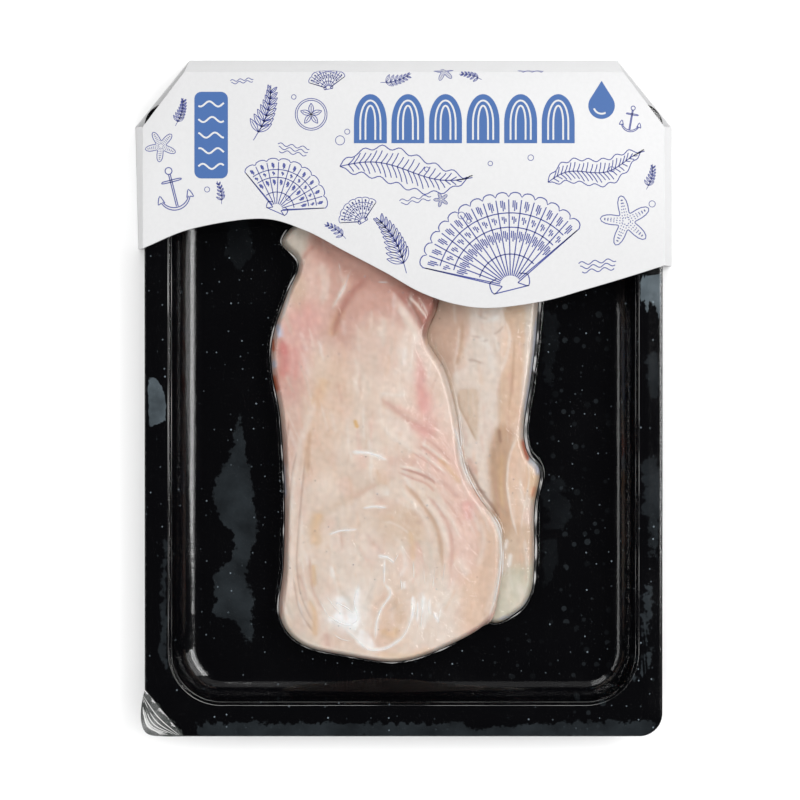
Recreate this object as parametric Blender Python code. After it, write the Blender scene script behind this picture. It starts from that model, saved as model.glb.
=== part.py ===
"""Dish of redfish fillet: a black plastic tray holding two raw fillets under a clear skin film, with a
white card sleeve over its upper end.

Metres, +Z up, +Y toward the sleeved end. The origin is on the table under the middle of the pack. The
tray, the fillets and the film are modelled level, then lean a little, because the tray's upper end stands
on the sleeve's back panel.
"""

import math

import bpy
import numpy as np

MM = 0.001

# Tray
TRAY_WIDTH = 180 * MM
TRAY_LENGTH = 220 * MM
TRAY_HEIGHT = 15.8 * MM
TRAY_SHEET = 0.8 * MM
TRAY_LOW_END = -118.72 * MM
TRAY_CORNER = 8 * MM
STRIP_WIDTH = 5.2 * MM
STRIP_DROP = 0.9 * MM
CUT_CORNER = np.array([13.4, 16.2]) * MM
CAVITY_INSET = np.array([8.8, 11.4]) * MM
CAVITY_CORNER = 18 * MM
# The cavity's edge, wall, bottom radius and floor: how far inward from the cavity's edge, and how high
CAVITY_PROFILE = np.array([
    (-0.7, 15.8), (0, 15.55), (0.4, 14.8), (1.1, 8.2), (2.2, 4.9), (3.9, 2.5), (6, 1.15), (8.4, 0.8),
]) * MM

# Film
FILM_THICKNESS = 0.4 * MM
FILM_GAP = 0.35 * MM
FILM_INSET = 0.4 * MM
PEEL_OVERHANG = 1.3 * MM
PEEL_LIFT = 0.8 * MM
FILM_TENT = 3.4 * MM
# Where the film's rings run round and over the fillets: outside their common outline, then inward to a spine
FOOT_OFFSETS = np.array([4.4, 2.9, 1.2]) * MM
COVER_SHARES = (0.05, 0.16, 0.3, 0.48, 0.68, 0.86)

# Fillets, seen from above: each side runs from the upper end to the lower end
FISH_BASE = 1.2 * MM
FISH_EDGE = 7 * MM
FISH_GAP = 0.6 * MM
LAP_REACH = 2.5 * MM
FRONT_LEFT = [(-20, 72), (-36, 62), (-43, 54), (-37, 46), (-41, 36), (-46, 21), (-46.5, 9), (-43.5, -8),
              (-42, -34), (-42.4, -60), (-43.8, -78), (-36, -88), (-20, -92), (-1, -94)]
FRONT_RIGHT = [(2, 66), (13, 45), (12, 31), (8.5, 20), (14.5, 9), (19, -8), (21, -24), (26, -35),
               (33.5, -46), (34.5, -58), (33.3, -70), (30, -80), (17, -88)]
FRONT_SPINE = [(-14, 48), (-4, -66)]
FRONT_THICK = 13.8 * MM
# The front fillet's dome: its middle, its reach across and along, and what is left at its sides and ends
FRONT_DOME_MIDDLE = (-8 * MM, -10 * MM)
FRONT_DOME_REACH = (40 * MM, 60 * MM)
FRONT_SIDES = 0.5
FRONT_ENDS = 0.7
BACK_LEFT = [(20, 66), (4, 56), (0, 36), (3, 10), (7, -12), (12, -40), (20, -64), (30, -80)]
BACK_RIGHT = [(38, 58), (47, 42), (47, 24), (45, 6), (42.4, -12), (44, -21), (48.2, -27), (46.2, -40),
              (46.2, -58), (45, -70), (40, -77)]
BACK_SPINE = [(25, 46), (33, -62)]
BACK_THICK = 10.2 * MM
# The back fillet thins toward the left, under the front one, and toward both its ends
BACK_THIN_X, BACK_FULL_X = 2 * MM, 34 * MM
BACK_THIN = 0.22
BACK_MIDDLE_Y, BACK_REACH_Y = 5 * MM, 62 * MM
BACK_ENDS = 0.62
COVER_LEFT = [(0, 73), (-22, 71), (-37, 61), (-42, 50), *FRONT_LEFT[4:]]
COVER_RIGHT = [(22, 68), *BACK_RIGHT, (30, -82), (17, -88)]
COVER_SPINE = [(0, 46), (0, -66)]
LAPPED_EDGE = 3.4 * MM
EDGE_LIFT = 1.2 * MM
# A fillet's rings below and above, as shares of the way from its outline to its spine
UNDER_SHARES = (0.85, 0.6, 0.4, 0.22, 0.07)
TOP_SHARES = (0.06, 0.16, 0.32, 0.6, 0.86)
FRONT_STEPS, BACK_STEPS = 26, 22

# Sleeve
CARD = 0.45 * MM
SLEEVE_HEIGHT = 18.4 * MM
FRONT_HALF_WIDTH = 90.3 * MM
FRONT_TOP = 111.7 * MM
BACK_HALF_WIDTH = 95.3 * MM
BACK_TOP = 118.8 * MM
TOP_HALF_WIDTH = 76 * MM
FRONT_CHAMFER_Y = 92.8 * MM
BACK_CHAMFER_Y = 95 * MM
BACK_LEFT_END = np.array([-94.2, 51.6]) * MM
BACK_RIGHT_END = np.array([95.3, 45.6]) * MM
# The front panel's lower edge, from the left crease to the right one
WAVE = np.array([
    (-90.3, 50.6), (-73.3, 57.4), (-49.7, 60.9), (-34.5, 57), (-20.3, 49.6), (-6.2, 42.2), (5.7, 35.5),
    (18, 31.3), (30.6, 30), (48.2, 32.3), (62.4, 36.2), (76.6, 40.4), (90.3, 44.7),
]) * MM
WAVE_POINTS = 44

# The lean: the tray's lower end is on the table, and its floor clears the sleeve's back panel
LEAN_PIVOT_Y = TRAY_LOW_END + CAVITY_INSET[1] + CAVITY_PROFILE[-1, 0]
LEAN_CLEARANCE = CARD + 0.3 * MM
LEAN = math.atan(LEAN_CLEARANCE / (BACK_RIGHT_END[1] - LEAN_PIVOT_Y))


def material(name, color, roughness, metallic=0.0, alpha=1.0):
    """A Principled material with this part's colour and shine."""
    made = bpy.data.materials.new(name)
    made.use_nodes = True
    shader = made.node_tree.nodes["Principled BSDF"]
    shader.inputs["Base Color"].default_value = (*color, 1)
    shader.inputs["Roughness"].default_value = roughness
    shader.inputs["Metallic"].default_value = metallic
    shader.inputs["Alpha"].default_value = alpha
    return made


def add_object(name, points, faces, made):
    """An object with this mesh, shaded smooth except at its sharp folds."""
    mesh = bpy.data.meshes.new(name)
    mesh.from_pydata([tuple(map(float, p)) for p in points], [], faces)
    mesh.validate()
    mesh.shade_smooth()
    mesh.set_sharp_from_angle(angle=math.radians(40))
    mesh.materials.append(made)
    added = bpy.data.objects.new(name, mesh)
    bpy.context.scene.collection.objects.link(added)
    return added


def thicken(target, thickness, side):
    """Turns an open sheet into a closed solid. The side is -1 behind the sheet's faces and 1 in front."""
    solid = target.modifiers.new("thickness", "SOLIDIFY")
    solid.thickness = thickness
    solid.offset = side
    solid.use_even_offset = True


def strips(rings):
    """The rings' points in one list, with the faces between each ring and the next."""
    count = len(rings[0])
    faces = []
    for low in range(0, count * (len(rings) - 1), count):
        for i in range(count):
            after = (i + 1) % count
            faces.append((low + i, low + after, low + count + after, low + count + i))
    return np.concatenate(rings), faces


def cap(start, count):
    """Faces that close a long ring across its middle, from its first point to the one half way round."""
    half = count // 2
    faces = [(start, start + 1, start + count - 1)]
    for i in range(1, half - 1):
        faces.append((start + i, start + i + 1, start + count - i - 1, start + count - i))
    faces.append((start + half - 1, start + half, start + half + 1))
    return faces


def rounded_ring(half, radius, height, cut=None, side_steps=(4, 6), corner_steps=6):
    """A rounded rectangle about the tray's middle, anticlockwise from the middle of its upper side.

    The lower left corner is cut off straight where cut gives the cut's size along x and y.
    """
    middle_y = TRAY_LOW_END + TRAY_LENGTH / 2
    corners = []
    for sign_x, sign_y, turn in ((-1, 1, 90), (-1, -1, 180), (1, -1, 270), (1, 1, 0)):
        center = np.array([sign_x, sign_y]) * (half - radius)
        angles = np.radians(turn + np.linspace(0, 90, corner_steps + 1))
        corners.append(center + radius * np.column_stack([np.cos(angles), np.sin(angles)]))
    if cut is not None:
        share = np.linspace(0, 1, corner_steps + 1)[:, None]
        corners[1] = (1 - share) * (-half[0], -half[1] + cut[1]) + share * (-half[0] + cut[0], -half[1])
    points = []
    for i in range(4):
        before, corner = corners[i - 1][-1], corners[i]
        steps = side_steps[i % 2]
        share = np.linspace(0, 1, steps + 1)[1:-1, None]
        points += [before + share * (corner[0] - before), corner]
    points = np.concatenate(points)
    points = np.roll(points, -(side_steps[0] // 2 - 1), axis=0)
    return np.column_stack([points[:, 0], points[:, 1] + middle_y, np.full(len(points), height)])


def tray_half(inset):
    """Half the tray's width and length, less an inset."""
    return np.array([TRAY_WIDTH, TRAY_LENGTH]) / 2 - inset


def cut_at(inset):
    """The cut corner's size on a ring that runs this far inside the tray's edge."""
    slope = 1 / CUT_CORNER
    return CUT_CORNER * (1 + inset * (np.hypot(*slope) - slope.sum()))


def shifted(profile, distance):
    """The cavity's profile moved this far off the plastic, square to itself."""
    along = np.gradient(profile, axis=0)
    along /= np.linalg.norm(along, axis=1)[:, None]
    square = np.column_stack([-along[:, 1], along[:, 0]])
    return profile + distance * square


def cavity_rings(profile, **steps):
    """One ring for each point of the cavity's profile, with corners round one centre."""
    return [
        rounded_ring(tray_half(CAVITY_INSET + run), CAVITY_CORNER - run, height, **steps)
        for run, height in profile
    ]


def make_tray(made):
    """The thermoformed tray: a flat flange with a bent outer strip, round a rounded cavity."""
    edge = rounded_ring(tray_half(0), TRAY_CORNER, TRAY_HEIGHT - STRIP_DROP, CUT_CORNER)
    crease_corner = TRAY_CORNER - STRIP_WIDTH / 2
    crease = rounded_ring(tray_half(STRIP_WIDTH), crease_corner, TRAY_HEIGHT, cut_at(STRIP_WIDTH))
    rings = [edge, crease, *cavity_rings(CAVITY_PROFILE)]
    points, faces = strips(rings)
    count = len(edge)
    faces += cap(len(points) - count, count)
    tray = add_object("tray", points, faces, made)
    thicken(tray, TRAY_SHEET, -1)
    return tray


def closed_curve(points, per_span=16):
    """A smooth closed curve through the points, with the place of each point on it."""
    points = np.asarray(points, float)
    before, after, beyond = np.roll(points, 1, 0), np.roll(points, -1, 0), np.roll(points, -2, 0)
    t = np.linspace(0, 1, per_span, endpoint=False)[:, None, None]
    curve = 0.5 * (
        2 * points
        + (after - before) * t
        + (2 * before - 5 * points + 4 * after - beyond) * t**2
        + (3 * points - before - 3 * after + beyond) * t**3
    )
    return curve.transpose(1, 0, 2).reshape(-1, 2)


def evenly(curve, steps):
    """Points at even distances along an open curve, without its last one."""
    length = np.concatenate([[0], np.cumsum(np.linalg.norm(np.diff(curve, axis=0), axis=1))])
    wanted = np.linspace(0, length[-1], steps, endpoint=False)
    return np.column_stack([np.interp(wanted, length, curve[:, axis]) for axis in (0, 1)])


def fillet_outline(left, right, steps):
    """A fillet's outline, anticlockwise: down its left side in this many steps, and up its right side."""
    per_span = 16
    curve = closed_curve(left + right[::-1], per_span) * MM
    low = (len(left) - 1) * per_span
    down, up = curve[: low + 1], np.append(curve[low:], curve[:1], 0)
    return np.concatenate([evenly(down, steps), evenly(up, steps)])


def inside_distance(outline, x, y):
    """How far inside the outline each place is, and 0 outside it."""
    place = np.stack([x, y], -1)[..., None, :]
    start, end = outline, np.roll(outline, -1, 0)
    side = end - start
    share = np.clip(((place - start) * side).sum(-1) / (side**2).sum(-1), 0, 1)
    nearest = np.linalg.norm(place - start - share[..., None] * side, axis=-1).min(-1)
    crosses = (start[:, 1] > place[..., 1]) != (end[:, 1] > place[..., 1])
    rise = np.where(side[:, 1] == 0, 1, side[:, 1])
    crossing = start[:, 0] + (place[..., 1] - start[:, 1]) * side[:, 0] / rise
    inside = (crosses & (place[..., 0] < crossing)).sum(-1) % 2 == 1
    return np.where(inside, nearest, 0)


def round_edge(distance, radius):
    """0 at a fillet's edge, rising like a quarter circle to 1 at this distance inside it."""
    return np.sqrt(1 - (1 - np.clip(distance / radius, 0, 1)) ** 2)


def bump(value, middle, width):
    """1 at the middle, falling smoothly to both sides."""
    return np.exp(-(((value - middle) / width) ** 2))


def back_top(outline, x, y):
    """The back fillet's top: full along its right side, thin where the front fillet covers it."""
    across = np.clip((x - BACK_THIN_X) / (BACK_FULL_X - BACK_THIN_X), 0, 1)
    along = bump(y, BACK_MIDDLE_Y, BACK_REACH_Y)
    thick = BACK_THICK * (BACK_THIN + (1 - BACK_THIN) * across) * (BACK_ENDS + (1 - BACK_ENDS) * along)
    return FISH_BASE + thick * round_edge(inside_distance(outline, x, y), FISH_EDGE)


def widened(height, reach, x, y):
    """The greatest height within this reach of each place."""
    greatest = height(x, y)
    for turn in np.radians(np.arange(0, 360, 30)):
        for away in (0.5 * reach, reach):
            near = height(x + away * math.cos(turn), y + away * math.sin(turn))
            greatest = np.maximum(greatest, near)
    return greatest


def front_under(back, x, y):
    """The front fillet's underside, which rests on the tray and laps over the back fillet."""
    lap = widened(lambda x, y: back_top(back, x, y), LAP_REACH, x, y)
    return np.where(lap > FISH_BASE, lap + FISH_GAP, FISH_BASE)


def front_top(outline, back, x, y):
    """The front fillet's top: a long dome, lifted where it lies on the back fillet."""
    across = bump(x, FRONT_DOME_MIDDLE[0], FRONT_DOME_REACH[0])
    along = FRONT_ENDS + (1 - FRONT_ENDS) * bump(y, FRONT_DOME_MIDDLE[1], FRONT_DOME_REACH[1])
    dome = FRONT_SIDES + (1 - FRONT_SIDES) * across * along
    edge = round_edge(inside_distance(outline, x, y), FISH_EDGE)
    resting = FISH_BASE + FRONT_THICK * dome * edge
    lapping = front_under(back, x, y) + LAPPED_EDGE * edge
    return np.maximum(resting, lapping)


def spine_points(spine, steps):
    """Where each point of an outline shrinks to: down the spine for its left side, up it for its right."""
    down = np.linspace(0, 1, steps + 1)[:, None]
    middle = np.array(spine[0]) * (1 - down) + np.array(spine[1]) * down
    return np.concatenate([middle, middle[-2:0:-1]]) * MM


def offset_outline(outline, distance):
    """The outline moved outward by this distance."""
    along = np.roll(outline, -1, 0) - np.roll(outline, 1, 0)
    along /= np.linalg.norm(along, axis=1)[:, None]
    return outline + distance * np.column_stack([along[:, 1], -along[:, 0]])


def make_fillet(name, outline, spine, under, top, made):
    """A closed fillet: rings that shrink from the outline to its spine, below and above."""
    middle = spine_points(spine, len(outline) // 2)

    def ring(share, height, lift=0.0):
        place = outline + share * (middle - outline)
        return np.column_stack([place, height(place[:, 0], place[:, 1]) + lift])

    rings = [ring(share, under) for share in UNDER_SHARES]
    rings.append(ring(0, under, EDGE_LIFT))
    rings += [ring(share, top) for share in TOP_SHARES]
    points, faces = strips(rings)
    count = len(outline)
    faces += [face[::-1] for face in cap(0, count)]
    faces += cap(len(points) - count, count)
    return add_object(name, points, faces, made)


def covered_height(front, back, x, y):
    """The height of what the film covers: the tray's floor and the fillets."""
    back_height = np.where(inside_distance(back, x, y) > 0, back_top(back, x, y), 0)
    front_height = np.where(inside_distance(front, x, y) > 0, front_top(front, back, x, y), 0)
    return np.maximum(np.maximum(back_height, front_height), CAVITY_PROFILE[-1, 1])


def make_film(front, back, made):
    """The skin film: over the flange, down the cavity's walls, and over the floor and the fillets."""
    steps = {"side_steps": (12, 16), "corner_steps": 5}
    edge_height = TRAY_HEIGHT - STRIP_DROP + FILM_GAP
    edge = rounded_ring(tray_half(FILM_INSET), TRAY_CORNER, edge_height, **steps)
    peel = (edge[:, 0] < -TRAY_WIDTH / 2 + CUT_CORNER[0]) & (edge[:, 1] < TRAY_LOW_END + CUT_CORNER[1])
    edge[peel, 0] -= PEEL_OVERHANG
    edge[peel, 2] += PEEL_LIFT
    crease_height = TRAY_HEIGHT + FILM_GAP
    crease = rounded_ring(
        tray_half(STRIP_WIDTH), TRAY_CORNER - STRIP_WIDTH / 2, crease_height, cut_at(STRIP_WIDTH), **steps
    )
    rings = [edge, crease, *cavity_rings(shifted(CAVITY_PROFILE, FILM_GAP), **steps)]
    outline = fillet_outline(COVER_LEFT, COVER_RIGHT, len(edge) // 2)
    middle = spine_points(COVER_SPINE, len(edge) // 2)
    places = [offset_outline(outline, distance) for distance in FOOT_OFFSETS]
    places += [outline + share * (middle - outline) for share in COVER_SHARES]
    for place in places:
        height = widened(lambda x, y: covered_height(front, back, x, y), FILM_TENT, *place.T) + FILM_GAP
        rings.append(np.column_stack([place, height]))
    points, faces = strips(rings)
    count = len(edge)
    faces += cap(len(points) - count, count)
    film = add_object("film", points, faces, made)
    thicken(film, FILM_THICKNESS, 1)
    return film


def smooth_line(knots, count):
    """A smooth open line through the knots, at even steps along x."""
    x = np.linspace(knots[0, 0], knots[-1, 0], count)
    slope = np.gradient(knots[:, 1], knots[:, 0])
    span = np.clip(np.searchsorted(knots[:, 0], x, side="right") - 1, 0, len(knots) - 2)
    width = knots[span + 1, 0] - knots[span, 0]
    t = (x - knots[span, 0]) / width
    y = (
        (2 * t**3 - 3 * t**2 + 1) * knots[span, 1]
        + (t**3 - 2 * t**2 + t) * width * slope[span]
        + (3 * t**2 - 2 * t**3) * knots[span + 1, 1]
        + (t**3 - t**2) * width * slope[span + 1]
    )
    return np.column_stack([x, y])


def make_sleeve(made):
    """The card sleeve: two panels joined by a left, a right and a top spine, open at both chamfers."""
    wave = smooth_line(WAVE, WAVE_POINTS)
    front = [*wave, (FRONT_HALF_WIDTH, FRONT_CHAMFER_Y), (TOP_HALF_WIDTH, FRONT_TOP),
             (-TOP_HALF_WIDTH, FRONT_TOP), (-FRONT_HALF_WIDTH, FRONT_CHAMFER_Y)]
    back = [BACK_LEFT_END, BACK_RIGHT_END, (BACK_HALF_WIDTH, BACK_CHAMFER_Y), (TOP_HALF_WIDTH, BACK_TOP),
            (-TOP_HALF_WIDTH, BACK_TOP), (-BACK_HALF_WIDTH, BACK_CHAMFER_Y)]
    points = [(x, y, SLEEVE_HEIGHT) for x, y in front] + [(x, y, 0) for x, y in back]
    count = len(wave)
    wave_left, wave_right = 0, count - 1
    right, top_right, top_left, left = range(count, count + 4)
    low_left, low_right, back_right, back_top_right, back_top_left, back_left = range(count + 4, count + 10)
    faces = [
        tuple(range(count + 4)),
        (low_left, back_left, back_top_left, back_top_right, back_right, low_right),
        (wave_left, left, back_left, low_left),
        (wave_right, low_right, back_right, right),
        (top_right, back_top_right, back_top_left, top_left),
    ]
    sleeve = add_object("sleeve", points, faces, made)
    thicken(sleeve, CARD, -1)
    return sleeve


def main():
    for old in list(bpy.data.objects):
        bpy.data.objects.remove(old)
    black_plastic = material("black_tray_plastic", (0.008, 0.008, 0.01), 0.18)
    front_flesh = material("front_fillet_flesh", (0.78, 0.60, 0.50), 0.35)
    back_flesh = material("back_fillet_flesh", (0.72, 0.55, 0.43), 0.35)
    clear_film = material("clear_film", (0.9, 0.92, 0.95), 0.08, alpha=0.2)
    white_card = material("white_card", (0.86, 0.87, 0.89), 0.5)

    front = fillet_outline(FRONT_LEFT, FRONT_RIGHT, FRONT_STEPS)
    back = fillet_outline(BACK_LEFT, BACK_RIGHT, BACK_STEPS)
    tray = make_tray(black_plastic)
    fillet_front = make_fillet(
        "fillet_front",
        front,
        FRONT_SPINE,
        lambda x, y: front_under(back, x, y),
        lambda x, y: front_top(front, back, x, y),
        front_flesh,
    )
    fillet_back = make_fillet(
        "fillet_back",
        back,
        BACK_SPINE,
        lambda x, y: np.full(np.shape(x), FISH_BASE),
        lambda x, y: back_top(back, x, y),
        back_flesh,
    )
    film = make_film(front, back, clear_film)
    make_sleeve(white_card)

    leaning = bpy.data.objects.new("leaning_pack", None)
    leaning.location = (0, LEAN_PIVOT_Y, 0)
    leaning.rotation_euler = (LEAN, 0, 0)
    bpy.context.scene.collection.objects.link(leaning)
    for piece in (tray, fillet_front, fillet_back, film):
        piece.parent = leaning
        piece.location = (0, -LEAN_PIVOT_Y, 0)


main()
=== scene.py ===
# %% [markdown]
# # Dish of redfish fillet
# A shut retail pack seen from straight above: a black tray with a rounded cavity, two raw fillets that
# overlap, a clear film shrunk over them, and a white card sleeve round the upper end. This notebook gives the
# plain solids of the pack their real surfaces. All sizes in it are millimetres until a mesh is made.

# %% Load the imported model
import math

import bpy
import numpy as np
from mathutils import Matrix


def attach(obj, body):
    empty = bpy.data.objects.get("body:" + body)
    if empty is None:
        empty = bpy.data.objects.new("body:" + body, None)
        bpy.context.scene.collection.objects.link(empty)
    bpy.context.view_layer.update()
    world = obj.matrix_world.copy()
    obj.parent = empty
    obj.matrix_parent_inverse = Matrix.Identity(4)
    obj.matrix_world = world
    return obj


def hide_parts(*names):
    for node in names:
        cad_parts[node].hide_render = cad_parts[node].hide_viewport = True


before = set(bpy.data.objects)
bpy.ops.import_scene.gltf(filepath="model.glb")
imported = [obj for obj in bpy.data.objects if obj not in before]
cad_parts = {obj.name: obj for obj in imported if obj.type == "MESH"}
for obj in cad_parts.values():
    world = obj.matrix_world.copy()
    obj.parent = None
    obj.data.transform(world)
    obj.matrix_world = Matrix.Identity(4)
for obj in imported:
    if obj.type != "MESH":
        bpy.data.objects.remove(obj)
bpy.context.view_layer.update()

MM = 0.001
print("nodes:", sorted(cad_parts))

# %% [markdown]
# ## The lean
# The tray's upper end stands on the sleeve's back panel, so the tray, the fillets and the film lean by about
# a third of a degree. It is easiest to model them level and to turn every finished mesh about the tray's
# lower end.

# %% Lean
LEAN_RISE, LEAN_RUN = 0.75, 144.52
LEAN = math.atan(LEAN_RISE / LEAN_RUN)
LEAN_PIVOT_Y = -98.92


def leaned(points):
    """The points turned about the tray's lower end, as the pack lies on its sleeve."""
    x, y, z = np.asarray(points, float).T
    run = y - LEAN_PIVOT_Y
    return np.column_stack([
        x,
        LEAN_PIVOT_Y + run * math.cos(LEAN) - z * math.sin(LEAN),
        run * math.sin(LEAN) + z * math.cos(LEAN),
    ])


print("lean in degrees:", round(math.degrees(LEAN), 3))

# %% [markdown]
# ## The camera and the light
# The pack is seen from straight above, a little off its middle. A long lens keeps its sides out of sight.

# %% Camera
CAMERA_PLACE = (-1.25, -1.85, 716)
CAMERA_LENS = 90.72

camera = bpy.data.objects.new("camera", bpy.data.cameras.new("camera"))
camera.location = [value * MM for value in CAMERA_PLACE]
camera.data.lens = CAMERA_LENS
camera.data.clip_start = 0.01
bpy.context.scene.collection.objects.link(camera)
bpy.context.scene.camera = camera
print("camera height:", camera.location.z)

# %% [markdown]
# Wide lamps stand to the right, to the left and beyond the upper end. They leave the space over the pack
# dark, which is why the flat black plastic stays black while every slope in it shines. A small strong lamp
# within a wide weak one gives each highlight a bright core and a soft border. A wide lamp straight above
# lights the card and the flesh, and is kept out of reflections. The stage is a white table.

# %% Lights and stage
LIGHTS = {
    # name: place, width and length in metres, power in watts, shown in reflections
    "key_right": ((0.98, 0.38, 0.85), (1.1, 1.3), 8, True),
    "key_core": ((0.82, 0.32, 1.0), (1.1, 0.42), 8, True),
    "fill_left": ((-1.25, 0.05, 0.75), (1.5, 0.3), 2.6, True),
    "fill_top": ((0.1, 1.2, 0.66), (1.8, 0.7), 1.4, True),
    "top_core": ((-0.55, 1.2, 0.66), (0.7, 0.6), 2.2, True),
    "fill_over": ((-0.25, -0.15, 1.3), (2.2, 2.2), 27, False),
}
WORLD_GREY = 0.02

for name, (place, size, power, shown) in LIGHTS.items():
    data = bpy.data.lights.new(name, "AREA")
    data.shape = "RECTANGLE"
    data.size, data.size_y = size
    data.energy = power
    light = bpy.data.objects.new(name, data)
    light.location = place
    light.visible_glossy = shown
    away = -light.location
    light.rotation_euler = away.to_track_quat("-Z", "Y").to_euler()
    bpy.context.scene.collection.objects.link(light)

world = bpy.data.worlds.new("dim_room")
world.use_nodes = True
world.node_tree.nodes["Background"].inputs["Color"].default_value = (WORLD_GREY, WORLD_GREY, WORLD_GREY, 1)
bpy.context.scene.world = world
bpy.context.scene.view_settings.view_transform = "Standard"

# The table's size, and how far it lies below the pack, in metres
TABLE_SIZE, TABLE_DROP = 6, 0.0004
bpy.ops.mesh.primitive_plane_add(size=TABLE_SIZE, location=(0, 0, -TABLE_DROP))
floor = bpy.context.object
floor.name = "white_table"
TABLE_WHITE, TABLE_ROUGHNESS = 0.98, 0.9
floor_paint = bpy.data.materials.new("white_table")
floor_paint.use_nodes = True
table_inputs = floor_paint.node_tree.nodes["Principled BSDF"].inputs
table_inputs["Base Color"].default_value = (TABLE_WHITE, TABLE_WHITE, TABLE_WHITE, 1)
table_inputs["Roughness"].default_value = TABLE_ROUGHNESS
floor.data.materials.append(floor_paint)
print("lights:", list(LIGHTS))

# %% [markdown]
# ## Tools for meshes
# Nearly every piece is a set of rings: a tray, a film or a fillet is one closed line after another, joined by
# strips of faces. A film or a card also needs a back, so a helper adds one and closes the rim.

# %% Mesh helpers
def part_of_pack(name, mesh, replaced):
    """An object that rides on the pack's one body, in place of one of its solids."""
    piece = bpy.data.objects.new(name, mesh)
    bpy.context.scene.collection.objects.link(piece)
    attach(piece, "root")
    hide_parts(replaced)
    return piece


def add_piece(name, points, faces, material, replaced, sharp=40):
    """A smooth mesh piece from points in millimetres, with edges sharper than this angle kept crisp."""
    mesh = bpy.data.meshes.new(name)
    mesh.from_pydata((np.asarray(points) * MM).tolist(), [], faces)
    mesh.shade_smooth()
    mesh.set_sharp_from_angle(angle=math.radians(sharp))
    mesh.materials.append(material)
    return part_of_pack(name, mesh, replaced)


def strips(rings):
    """The rings' points in one array, with the faces between each ring and the next."""
    count = len(rings[0])
    i = np.arange(count)
    after = (i + 1) % count
    lows = np.arange(len(rings) - 1)[:, None] * count
    faces = np.stack([lows + i, lows + after, lows + count + after, lows + count + i], -1)
    return np.concatenate(rings), faces.reshape(-1, 4).tolist()


def cap(start, count):
    """Faces that close a long ring across its middle."""
    half = count // 2
    faces = [[start, start + 1, start + count - 1]]
    for i in range(1, half - 1):
        faces.append([start + i, start + i + 1, start + count - i - 1, start + count - i])
    faces.append([start + half - 1, start + half, start + half + 1])
    return faces


def sheet_normals(points, faces):
    """Each point's average normal on a sheet of quads and triangles."""
    normals = np.zeros_like(points)
    for size in (3, 4):
        group = np.array([face for face in faces if len(face) == size])
        if not len(group):
            continue
        a, b = points[group[:, 2]] - points[group[:, 0]], points[group[:, -1]] - points[group[:, 1]]
        if size == 3:
            a, b = points[group[:, 1]] - points[group[:, 0]], points[group[:, 2]] - points[group[:, 0]]
        square = np.cross(a, b)
        for corner in range(size):
            np.add.at(normals, group[:, corner], square)
    return normals / np.maximum(np.linalg.norm(normals, axis=1), 1e-12)[:, None]


def closed_sheet(points, faces, rims, thickness):
    """The sheet with a back this far behind it, closed along its rims, which run as its faces turn."""
    count = len(points)
    back = points - thickness * sheet_normals(points, faces)
    closed = list(faces) + [[count + i for i in reversed(face)] for face in faces]
    for rim in rims:
        for here, after in zip(rim, [*rim[1:], rim[0]]):
            closed.append([after, here, count + here, count + after])
    return np.concatenate([points, back]), closed


print("mesh helpers ready")

# %% [markdown]
# ## Smooth lines
# An outline or a fold is given by a few points, and a Catmull-Rom curve runs smoothly through them.

# %% Curve helpers
def spans(a, b, c, d, per_span):
    """Catmull-Rom curves from every b to its c, with a before them and d after them."""
    t = np.linspace(0, 1, per_span, endpoint=False)[:, None, None]
    curve = 0.5 * (2 * b + (c - a) * t + (2 * a - 5 * b + 4 * c - d) * t**2 + (3 * b - a - 3 * c + d) * t**3)
    return curve.transpose(1, 0, 2).reshape(-1, b.shape[1])


def open_curve(points, per_span=8):
    """A smooth open curve through the points."""
    points = np.asarray(points, float)
    if len(points) == 2:
        return points[0] + np.linspace(0, 1, per_span + 1)[:, None] * (points[1] - points[0])
    padded = np.concatenate([[2 * points[0] - points[1]], points, [2 * points[-1] - points[-2]]])
    curve = spans(padded[:-3], padded[1:-2], padded[2:-1], padded[3:], per_span)
    return np.concatenate([curve, points[-1:]])


def closed_curve(points, per_span=16):
    """A smooth closed curve through the points."""
    points = np.asarray(points, float)
    return spans(np.roll(points, 1, 0), points, np.roll(points, -1, 0), np.roll(points, -2, 0), per_span)


def evenly(curve, steps):
    """Points at even distances along an open curve, without its last one."""
    length = np.concatenate([[0], np.cumsum(np.linalg.norm(np.diff(curve, axis=0), axis=1))])
    wanted = np.linspace(0, length[-1], steps, endpoint=False)
    return np.column_stack([np.interp(wanted, length, curve[:, axis]) for axis in range(curve.shape[1])])


def fillet_outline(left, right, steps):
    """A fillet's outline, anticlockwise from its upper end, with this many steps down each side."""
    per_span = 16
    curve = closed_curve(left + right[::-1], per_span)
    low = (len(left) - 1) * per_span
    down, up = curve[: low + 1], np.append(curve[low:], curve[:1], 0)
    return np.concatenate([evenly(down, steps), evenly(up, steps)])


def line_distance(x, y, line):
    """Each place's distance to a line, how far along the line it is from 0 to 1, and on which side."""
    line = np.asarray(line, float)
    start, side = line[:-1], np.diff(line, axis=0)
    length = np.maximum((side**2).sum(1), 1e-12)
    best, along, turn = np.full(x.shape, 1e9), np.zeros(x.shape), np.ones(x.shape)
    for i in range(len(side)):
        dx, dy = x - start[i, 0], y - start[i, 1]
        share = np.clip((dx * side[i, 0] + dy * side[i, 1]) / length[i], 0, 1)
        off = np.hypot(dx - share * side[i, 0], dy - share * side[i, 1])
        nearer = off < best
        best = np.where(nearer, off, best)
        along = np.where(nearer, (i + share) / len(side), along)
        turn = np.where(nearer, np.sign(side[i, 0] * dy - side[i, 1] * dx), turn)
    return best, along, turn


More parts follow.
